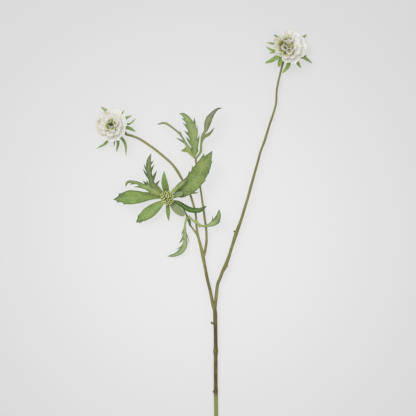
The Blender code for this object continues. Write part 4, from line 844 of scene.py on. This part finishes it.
def leaf_mesh(outline, lines, length):
    """The flat leaf cut into triangles, with points along its rib and veins: its points and its faces."""
    marks = [(float(s), 0.0) for s in np.arange(0.8, length - 0.8, 0.9)]
    for a, b in lines:
        steps = max(2, int(math.dist(a, b)))
        for i in range(1, steps):
            marks.append((a[0] + (b[0] - a[0]) * i / steps, a[1] + (b[1] - a[1]) * i / steps))
    marks = inside(outline, marks, 0.3)
    across_most = max(abs(y) for _, y in outline)
    grid = [
        (float(s) + (LEAF_SPACING / 2 if row % 2 else 0), float(y))
        for row, y in enumerate(np.arange(-across_most, across_most, LEAF_SPACING * 0.87))
        for s in np.arange(0, length + 8, LEAF_SPACING)
    ]
    near_marks = np.array(marks)
    grid = [g for g in inside(outline, grid, 0.45) if np.linalg.norm(near_marks - g, axis=1).min() > 0.6]
    count = len(outline)
    loop = [(i, (i + 1) % count) for i in range(count)]
    flat = [Vector(p) for p in outline + marks + grid]
    spots, _, faces, _, _, _ = delaunay_2d_cdt(flat, loop, [list(range(count))], 1, 1e-5)
    return spots, faces


def build_leaf(name, spec, material):
    """A cut or toothed leaf with a raised midrib and sunken side veins, bent along its rib."""
    rib = smoothed(spec["rib"], 1.5)
    reach = np.concatenate([[0], np.cumsum(np.linalg.norm(np.diff(rib, axis=0), axis=1))])
    length = float(reach[-1])
    outline = refined_outline(thinned_outline(leaf_outline(spec, length)), LEAF_SPACING * 0.8)
    lines = vein_lines(spec, length)
    spots, faces = leaf_mesh(outline, lines, length)
    shares, halves = zip(*spec["widths"])

    def half(share):
        return float(np.interp(share, shares, halves))

    def rib_at(held):
        return np.array([np.interp(held, reach, rib[:, k]) for k in range(3)])

    def bent(along, across):
        held = min(max(along, 0), length)
        tangent = Vector(rib_at(min(held + 1, length)) - rib_at(max(held - 1, 0))).normalized()
        side = tangent.cross(Vector((0, 0, 1))).normalized()
        up = side.cross(tangent)
        share = held / length
        roll = math.radians(spec["roll"][0] * (1 - share) + spec["roll"][1] * share)
        turned_side = side * math.cos(roll) + up * math.sin(roll)
        turned_up = up * math.cos(roll) - side * math.sin(roll)
        lift = spec["fold"] * (abs(across) - 0.03 * across * across)
        edge = min(1.5, abs(across) / (0.6 + half(share)))
        lift += WAVE_RISE * edge * edge * math.sin(held / WAVE_LENGTH + (1.4 if across > 0 else 0))
        return Vector(rib_at(held)) + tangent * (along - held) + turned_side * across + turned_up * lift

    rim = list(zip(outline, outline[1:] + outline[:1]))
    step = 0.5
    sheet, normals, above, below, upper, lower = [], [], [], [], [], []
    for along, across in ((float(s.x), float(s.y)) for s in spots):
        sheet.append(bent(along, across))
        ahead = bent(along + step, across) - bent(along - step, across)
        wide = bent(along, across + step) - bent(along, across - step)
        normals.append(wide.cross(ahead).normalized())
        share = min(1, along / length)
        raised = math.exp(-((across / (RIB_HALF_WIDTH + RIB_HALF_WIDTH_GAIN * (1 - share))) ** 2))
        apart = distance_to_lines((along, across), lines)
        vein = math.exp(-((apart / VEIN_HALF_WIDTH) ** 2))
        quilt = QUILT_RISE * (1 - math.exp(-apart))
        above.append(LEAF_THICKNESS / 2 + quilt - 0.1 * raised)
        below.append(LEAF_THICKNESS / 2 + RIB_THICKNESS * raised * (1 - 0.7 * share) + 0.15 * vein)
        strength = max(raised, 0.6 * vein)
        beyond = min(1, max(0, (abs(across) - 0.85 * half(share)) / 2.4))
        from_rim = distance_to_lines((along, across), rim) / MARGIN_REACH
        margin = 0.4 * max(math.exp(-(from_rim**2)), beyond)
        upper.append((strength, share, 1 - margin))
        lower.append((strength, share, 0))
    turned_faces = []
    for a, b, c in faces:
        across = (sheet[b] - sheet[a]).cross(sheet[c] - sheet[a])
        turned_faces.append((a, b, c) if across.dot(normals[a]) > 0 else (a, c, b))
    shape = Shape()
    add_blade(shape, sheet, normals, turned_faces, above, below, upper, lower)
    shape.build(name + "_blade", material, name, sharp=60)


class Surface:
    """A material's node tree, with short names for the few kinds of node that are used here."""

    def __init__(self, name, roughness, **sockets):
        self.made = bpy.data.materials.new(name)
        self.made.use_nodes = True
        self.nodes = self.made.node_tree.nodes
        self.links = self.made.node_tree.links
        self.shader = self.nodes["Principled BSDF"]
        self.shader.inputs["Roughness"].default_value = roughness
        for socket, value in sockets.items():
            self.shader.inputs[socket.replace("_", " ")].default_value = value

    def put(self, socket, value):
        """Links a node's output to the socket, or sets the socket's own value."""
        if isinstance(value, bpy.types.NodeSocket):
            self.links.new(value, socket)
        elif isinstance(value, tuple):
            needs_alpha = len(value) == 3 and len(socket.default_value) == 4
            socket.default_value = (*value, 1) if needs_alpha else value
        else:
            socket.default_value = value

    def place(self):
        """The place vector's three numbers."""
        attribute = self.nodes.new("ShaderNodeAttribute")
        attribute.attribute_name = "place"
        parts = self.nodes.new("ShaderNodeSeparateXYZ")
        self.links.new(attribute.outputs["Vector"], parts.inputs[0])
        return parts.outputs

    def vector(self, *parts):
        """A vector of the given parts, with 0 for any that are left out."""
        node = self.nodes.new("ShaderNodeCombineXYZ")
        for socket, part in zip(node.inputs, parts):
            self.put(socket, part)
        return node.outputs[0]

    def where(self, stretch=(1, 1, 1)):
        """Object coordinates in metres, stretched."""
        coordinates = self.nodes.new("ShaderNodeTexCoord")
        mapping = self.nodes.new("ShaderNodeMapping")
        mapping.inputs["Scale"].default_value = stretch
        self.links.new(coordinates.outputs["Object"], mapping.inputs["Vector"])
        return mapping.outputs[0]

    def noise(self, scale, detail=3, vector=None):
        node = self.nodes.new("ShaderNodeTexNoise")
        node.inputs["Scale"].default_value = scale
        node.inputs["Detail"].default_value = detail
        self.links.new(vector or self.where(), node.inputs["Vector"])
        return node.outputs["Fac"]

    def number(self, operation, a, b=0.0, c=None):
        node = self.nodes.new("ShaderNodeMath")
        node.operation = operation
        for socket, value in zip(node.inputs, (a, b, c)):
            if value is not None:
                self.put(socket, value)
        return node.outputs[0]

    def times(self, a, b):
        return self.number("MULTIPLY", a, b)

    def span(self, value, low, high, start=0.0, stop=1.0):
        """The value's share of the way from low to high, held between start and stop."""
        node = self.nodes.new("ShaderNodeMapRange")
        node.interpolation_type = "SMOOTHSTEP"
        for socket, number in zip(node.inputs, (value, low, high, start, stop)):
            self.put(socket, number)
        return node.outputs[0]

    def mix(self, factor, a, b):
        node = self.nodes.new("ShaderNodeMix")
        node.data_type = "RGBA"
        self.put(node.inputs["Factor"], factor)
        self.put(node.inputs[6], a)
        self.put(node.inputs[7], b)
        return node.outputs[2]

    def finish(self, colour, height=None, depth=0.0, strength=0.0):
        """Sets the colour and, where a height is given, a bump of that depth in metres."""
        self.put(self.shader.inputs["Base Color"], colour)
        if height is not None:
            bump = self.nodes.new("ShaderNodeBump")
            bump.inputs["Distance"].default_value = depth
            bump.inputs["Strength"].default_value = strength
            self.links.new(height, bump.inputs["Height"])
            self.links.new(bump.outputs[0], self.shader.inputs["Normal"])
        return self.made


def shifted(colour, factors, lifts=0.0):
    """Each channel times its factor plus its lift. A single number serves all three channels."""
    factors, lifts = (n if isinstance(n, tuple) else (n,) * 3 for n in (factors, lifts))
    return tuple(x * factor + lift for x, factor, lift in zip(colour, factors, lifts))


def leaf_material(name, tones):
    """Leaf green: pale along its veins and foot, dark at its end and margin, greyer underneath."""
    upper, under, darkening, stalk = tones
    surface = Surface(name, 0.5, Specular_IOR_Level=0.35)
    vein, share, side = surface.place()
    face = surface.number("GREATER_THAN", side, 0.5)
    margin = surface.times(side, 2.0)
    margin = surface.span(surface.number("PINGPONG", margin, 1.0), 0.0, 0.9)
    mottle = surface.number("ADD", surface.noise(85, 5), surface.times(surface.noise(520, 3), 0.6))
    mottle = surface.span(mottle, 0.5, 1.1)
    fresh = shifted(upper, (1.44, 1.34, 1.28))
    deep = shifted(upper, (0.52, 0.62, 0.58))
    top = surface.mix(mottle, deep, fresh)
    tip = surface.times(surface.span(share, 0.72, 1.0), darkening)
    top = surface.mix(tip, top, shifted(upper, 0.42))
    top = surface.mix(surface.times(vein, 0.8), top, shifted(upper, 1, 0.09))
    top = surface.mix(surface.times(margin, 0.7), top, shifted(upper, 0.36))
    pale = shifted(upper, 0.6, (0.20, 0.24, 0.07))
    top = surface.mix(surface.span(share, stalk * 1.4, stalk * 0.5, 0.0, 0.75), top, pale)
    lower = surface.mix(mottle, shifted(under, 0.8), shifted(under, 1.1))
    lower = surface.mix(surface.times(vein, 0.6), lower, shifted(under, 0.6, 0.2))
    grain = surface.number("ADD", surface.noise(1400, 2), surface.times(vein, -0.6))
    return surface.finish(surface.mix(face, lower, top), grain, 0.00012, 0.5)


def bract_material(name, fresh, deep, greying):
    """Smooth green bracts with a paler rib and darker feet."""
    surface = Surface(name, 0.48, Specular_IOR_Level=0.35)
    rib, share, tint = surface.place()
    colour = surface.mix(surface.span(surface.noise(220, 4), 0.3, 0.7), deep, fresh)
    colour = surface.mix(surface.span(tint, 0.0, 1.0, 0.0, greying), colour, (0.30, 0.34, 0.19))
    colour = surface.mix(surface.times(rib, 0.35), colour, shifted(fresh, 0.5, 0.16))
    colour = surface.mix(surface.span(share, 0.5, 0.1, 0.0, 0.7), colour, shifted(deep, 0.5))
    return surface.finish(colour, surface.noise(1500, 2), 0.0001, 0.4)


def petal_material(name, lip, shade, throat, deep, browned):
    """Thin white petals: faintly veined, green in the throat and darker deep in it with painted shade, and
    here and there brown at the rim.
    """
    surface = Surface(name, 0.62, Specular_IOR_Level=0.2, Subsurface_Weight=0.5, Subsurface_Scale=0.002)
    surface.shader.inputs["Subsurface Radius"].default_value = (1.0, 0.95, 0.75)
    share, across, tone = surface.place()
    green = surface.number("MINIMUM", tone, 1.0)
    cloud = surface.span(surface.noise(160, 3), 0.35, 0.7)
    colour = surface.mix(surface.times(cloud, surface.span(green, -0.6, 1.0)), lip, shade)
    streak = surface.nodes.new("ShaderNodeTexWave")
    streak.inputs["Scale"].default_value = 1.0
    streak.inputs["Distortion"].default_value = 1.2
    surface.links.new(surface.vector(surface.times(across, 3.4), share), streak.inputs["Vector"])
    veins = surface.times(surface.span(streak.outputs["Fac"], 0.72, 1.0), 0.12)
    colour = surface.mix(veins, colour, shade)
    reach = surface.number("MULTIPLY_ADD", green, 0.48, 0.36)
    near = surface.times(reach, 0.4)
    deeper = surface.times(reach, 0.8)
    strength = surface.number("MULTIPLY_ADD", green, 0.4, 0.6)
    wash = surface.times(surface.span(share, reach, near), strength)
    colour = surface.mix(wash, colour, throat)
    # Deep in the throat the green darkens to painted shade
    painted_pit_shade = surface.times(surface.span(share, deeper, near), green)
    colour = surface.mix(painted_pit_shade, colour, deep)
    rim = surface.times(surface.span(tone, 1.0, 2.0), surface.span(share, 0.35, 1.0))
    colour = surface.mix(surface.times(rim, surface.span(cloud, -0.5, 1.0)), colour, browned)
    # The petals glow in their own colour: painted light that lifts the shade among them
    surface.put(surface.shader.inputs["Emission Color"], colour)
    surface.shader.inputs["Emission Strength"].default_value = PETAL_GLOW
    return surface.finish(colour, streak.outputs["Fac"], 0.00012, 0.35)


def stem_material():
    """Stem skin in streaks of olive and brown, lighter green at its foot, and paler towards the left of the
    spray, where the thin shoots are: partly their own colour, partly painted light that lifts the shade the
    leaves cast there.
    """
    surface = Surface("stem_skin", 0.55, Specular_IOR_Level=0.3)
    reach, turn, _ = surface.place()
    across = surface.times(surface.number("SINE", turn), 2.0)
    up = surface.times(surface.number("COSINE", turn), 2.0)
    streaks = surface.noise(1.6, 4, vector=surface.vector(across, surface.times(reach, 0.03), up))
    olive = (0.15, 0.145, 0.035)
    pale = (0.32, 0.31, 0.115)
    brown = (0.13, 0.085, 0.035)
    dark = (0.07, 0.047, 0.02)
    fresh = (0.25, 0.29, 0.095)
    colour = surface.mix(surface.span(streaks, 0.3, 0.7), olive, pale)
    blotch = surface.noise(55, 3)
    position = surface.nodes.new("ShaderNodeSeparateXYZ")
    surface.links.new(surface.where(), position.inputs[0])
    # Paler left of x = 0.01 m: partly the shoots' own olive-tan, partly painted light against the leaves'
    # shade
    colour = surface.mix(surface.span(position.outputs["X"], 0.012, -0.01, 0.0, 0.75), colour, pale)
    along = position.outputs["Y"]
    browned = surface.times(surface.span(along, 0.03, -0.03, 0.2, 0.5), surface.span(blotch, 0.5, 0.7))
    colour = surface.mix(browned, colour, brown)
    woody = surface.times(surface.span(along, -0.085, -0.12), surface.span(blotch, 0.2, 0.62, 0.35, 0.9))
    colour = surface.mix(woody, colour, surface.mix(surface.span(streaks, 0.35, 0.65), dark, brown))
    foot = surface.span(along, -0.205, -0.214)
    colour = surface.mix(foot, colour, fresh)
    return surface.finish(colour, surface.number("ADD", streaks, blotch), 0.00015, 0.5)


def bud_material(name, pale, gap_shade):
    """Closed floret buds: pale at their tips, with painted shade in dark green down between them and in the
    creases of their lobes.
    """
    surface = Surface(name, 0.6, Specular_IOR_Level=0.3)
    share, lobe, tint = surface.place()
    colour = surface.mix(surface.span(share, 0.25, 0.85), gap_shade, pale)
    colour = surface.mix(surface.times(tint, 0.45), colour, shifted(pale, 0.62))
    colour = surface.mix(surface.span(lobe, -0.2, -1.0, 0.0, 0.35), colour, gap_shade)
    return surface.finish(colour, surface.noise(1800, 2), 0.00012, 0.5)


def floor_material():
    """A pale sheet that glows with painted light as well as being lit from above, which keeps the shadows
    faint; its glow dims towards the edge as painted shade.
    """
    surface = Surface("studio_floor", 0.9, Specular_IOR_Level=0.0, Emission_Strength=FLOOR_GLOW)
    apart = surface.nodes.new("ShaderNodeVectorMath")
    apart.operation = "LENGTH"
    surface.links.new(surface.where((1, 1, 0)), apart.inputs[0])
    # The glow dims away from the middle: painted shade towards the floor's edge
    edge = surface.span(apart.outputs["Value"], *FLOOR_GLOW_FADE)
    surface.put(surface.shader.inputs["Emission Color"], surface.mix(edge, (1, 1, 1), FLOOR_EDGE_GLOW))
    cloud = surface.span(surface.noise(0.8, 2), 0.3, 0.7)
    return surface.finish(surface.mix(cloud, *FLOOR_GREYS))


def build_head(side, spec, bract, petal, eye_tones):
    """An open head in three pieces, as its solids are: the involucre, the ray florets and the eye."""
    local = head_frame(spec["foot"], spec["lean"], spec["toward"])
    prefix = f"flower_{side}"
    draw = random.Random(spec["seed"])
    ruffle = random.Random(spec["seed"] + 1)
    involucre = Shape()
    cup = [(2.4, 0), (3.8, 0.9), (5.9, 2.2), (CUP_TOP_RADIUS, CUP_HEIGHT)]
    add_turned(involucre, cup, local, 40, 20, 0.012, (0.0, 0.1, 0.3))
    for row in spec["bracts"]:
        add_bract(involucre, local, row, ruffle.random())
    involucre.build(f"{prefix}_bracts", bract, f"{prefix}_involucre")

    florets = Shape()
    core_foot = CUP_HEIGHT + SURFACE_GAP
    core = [
        (HEAD_CORE_RADIUS * 0.95, core_foot),
        (HEAD_CORE_RADIUS, core_foot + 2.5),
        (HEAD_CORE_RADIUS * 0.8, core_foot + 5.5),
        (3.0, HEAD_CORE_TOP - 0.8),
        (1.2, HEAD_CORE_TOP - 0.3),
    ]
    add_turned(florets, core, local, 30, 10, 0.03, (0.1, 0.0, 0.5))
    rows = [row + form for form, run in spec["florets"] for row in run]
    for row, tone in zip(rows, FLORET_TONES[side]):
        add_floret(florets, local, row, tone, draw, ruffle)
    florets.build(f"{prefix}_petals", petal, f"{prefix}_florets")

    middle = Shape()
    eye_foot = HEAD_CORE_TOP - 0.3 + SURFACE_GAP
    eye = [(1.5, eye_foot), (EYE_RADIUS, eye_foot + 1), (1.2, eye_foot + 2)]
    # The eye's base under its knobs takes the gaps' colour: painted shade
    add_turned(middle, eye, local, 24, 8, 0.04)
    for direction in dome_spots(EYE_KNOBS, 0.1, 0.75):
        at = Vector((0, 0, eye_foot + 0.7)) + direction * 1.1
        add_knob(middle, local, at, direction, 1.3, 0.75, ruffle.random())
    eye_buds = bud_material(f"{side}_eye_buds", *eye_tones)
    middle.build(f"{prefix}_eye_buds", eye_buds, f"{prefix}_eye")


def build_bud(bract, pale):
    """The bud head: closed floret buds on a dome, over its own smooth bracts."""
    local = Matrix.Translation(BUD_FOOT)
    involucre = Shape()
    cup = [(2.2, 0), (4.5, 0.6), (6.5, 1.7), (6.5, BUD_CUP_HEIGHT)]
    add_turned(involucre, cup, local, 36, 18, 0.012, (0.0, 0.1, 0.3))
    for row, tint in zip(BUD_BRACTS, BUD_BRACT_TINTS):
        add_bract(involucre, local, row, tint, fold=0.1, foot=(4.0, 1.4), rim=(7.5, 1.5))
    involucre.build("bud_bracts", bract, "bud_involucre")
    foot = BUD_CUP_HEIGHT + SURFACE_GAP
    dome = [(BUD_RADIUS * 0.72, foot)]
    for step in range(1, 6):
        turn = math.pi / 2 * step / 6
        dome.append((BUD_RADIUS * 0.86 * math.cos(turn), foot + BUD_HEIGHT * 0.86 * math.sin(turn)))
    knobs = Shape()
    # The dome under the knobs takes the gaps' colour: painted shade between them
    add_turned(knobs, dome, local, 32, 16, 0.02, (0.0, -1.0, 0.5))
    draw = random.Random(5)
    tints = random.Random(6)
    centre = Vector((0, 0, foot))
    for direction in dome_spots(BUD_KNOBS, 0.0, 0.84):
        x, y, z = direction
        reach = Vector((x * BUD_RADIUS, y * BUD_RADIUS, z * BUD_HEIGHT)) * 0.8
        lean = Vector((draw.uniform(-0.25, 0.25), draw.uniform(-0.25, 0.25), 0.1))
        lean = (direction + lean).normalized()
        length = 2.5 * draw.uniform(0.8, 1.2)
        radius = draw.uniform(0.85, 1.15)
        add_knob(knobs, local, centre + reach, lean, length, radius, tints.random())
    knobs.build("bud_knobs", pale, "bud_florets")


def build_stem():
    stem = Shape()
    for route in (MAIN_SHOOT, RIGHT_SHOOT):
        add_stalk(stem, route, STEM_SIDES)
    for route in (LEAFY_SHOOT, BUD_SHOOT):
        add_stalk(stem, route, THIN_STEM_SIDES)
    for spec in STUBS:
        add_stub(stem, *spec)
    stem.build("stem_stalks", stem_material(), "stem")


def build_studio():
    """Floor, soft light and the camera that looks straight down as the photograph does."""
    bpy.ops.mesh.primitive_plane_add(size=FLOOR_SIZE)
    floor = bpy.context.object
    floor.name = "studio_floor"
    floor.data.materials.append(floor_material())
    world = bpy.data.worlds.new("studio")
    world.use_nodes = True
    world.node_tree.nodes["Background"].inputs["Color"].default_value = (1, 1, 1, 1)
    world.node_tree.nodes["Background"].inputs["Strength"].default_value = WORLD_STRENGTH
    bpy.context.scene.world = world
    for name, place, size, power in LIGHTS:
        light = bpy.data.lights.new(name, "AREA")
        light.size = size
        light.energy = power
        lamp = bpy.data.objects.new(name, light)
        lamp.location = place
        lamp.rotation_euler = (-Vector(place)).to_track_quat("-Z", "Y").to_euler()
        bpy.context.scene.collection.objects.link(lamp)
    lens = bpy.data.cameras.new("camera")
    lens.sensor_width = SENSOR
    lens.lens = SENSOR * CAMERA_HEIGHT / PHOTO_WIDTH
    camera = bpy.data.objects.new("camera", lens)
    camera.location = (PHOTO_MIDDLE[0] * MM, PHOTO_MIDDLE[1] * MM, CAMERA_HEIGHT * MM)
    bpy.context.scene.collection.objects.link(camera)
    bpy.context.scene.camera = camera
    bpy.context.scene.view_settings.view_transform = "Standard"


def main():
    build_stem()
    head_bracts = bract_material("head_bracts", *HEAD_BRACT_TONES)
    petal = petal_material("petals", *PETAL_TONES)
    for side, spec in HEADS.items():
        build_head(side, spec, head_bracts, petal, EYE_TONES[side])
    bud_bracts = bract_material("bud_bracts", *BUD_BRACT_TONES)
    build_bud(bud_bracts, bud_material("bud_knobs", *BUD_KNOB_TONES))
    for name, spec in LEAVES.items():
        build_leaf(name, spec, leaf_material(name + "_skin", LEAF_TONES[name]))
    build_studio()


main()
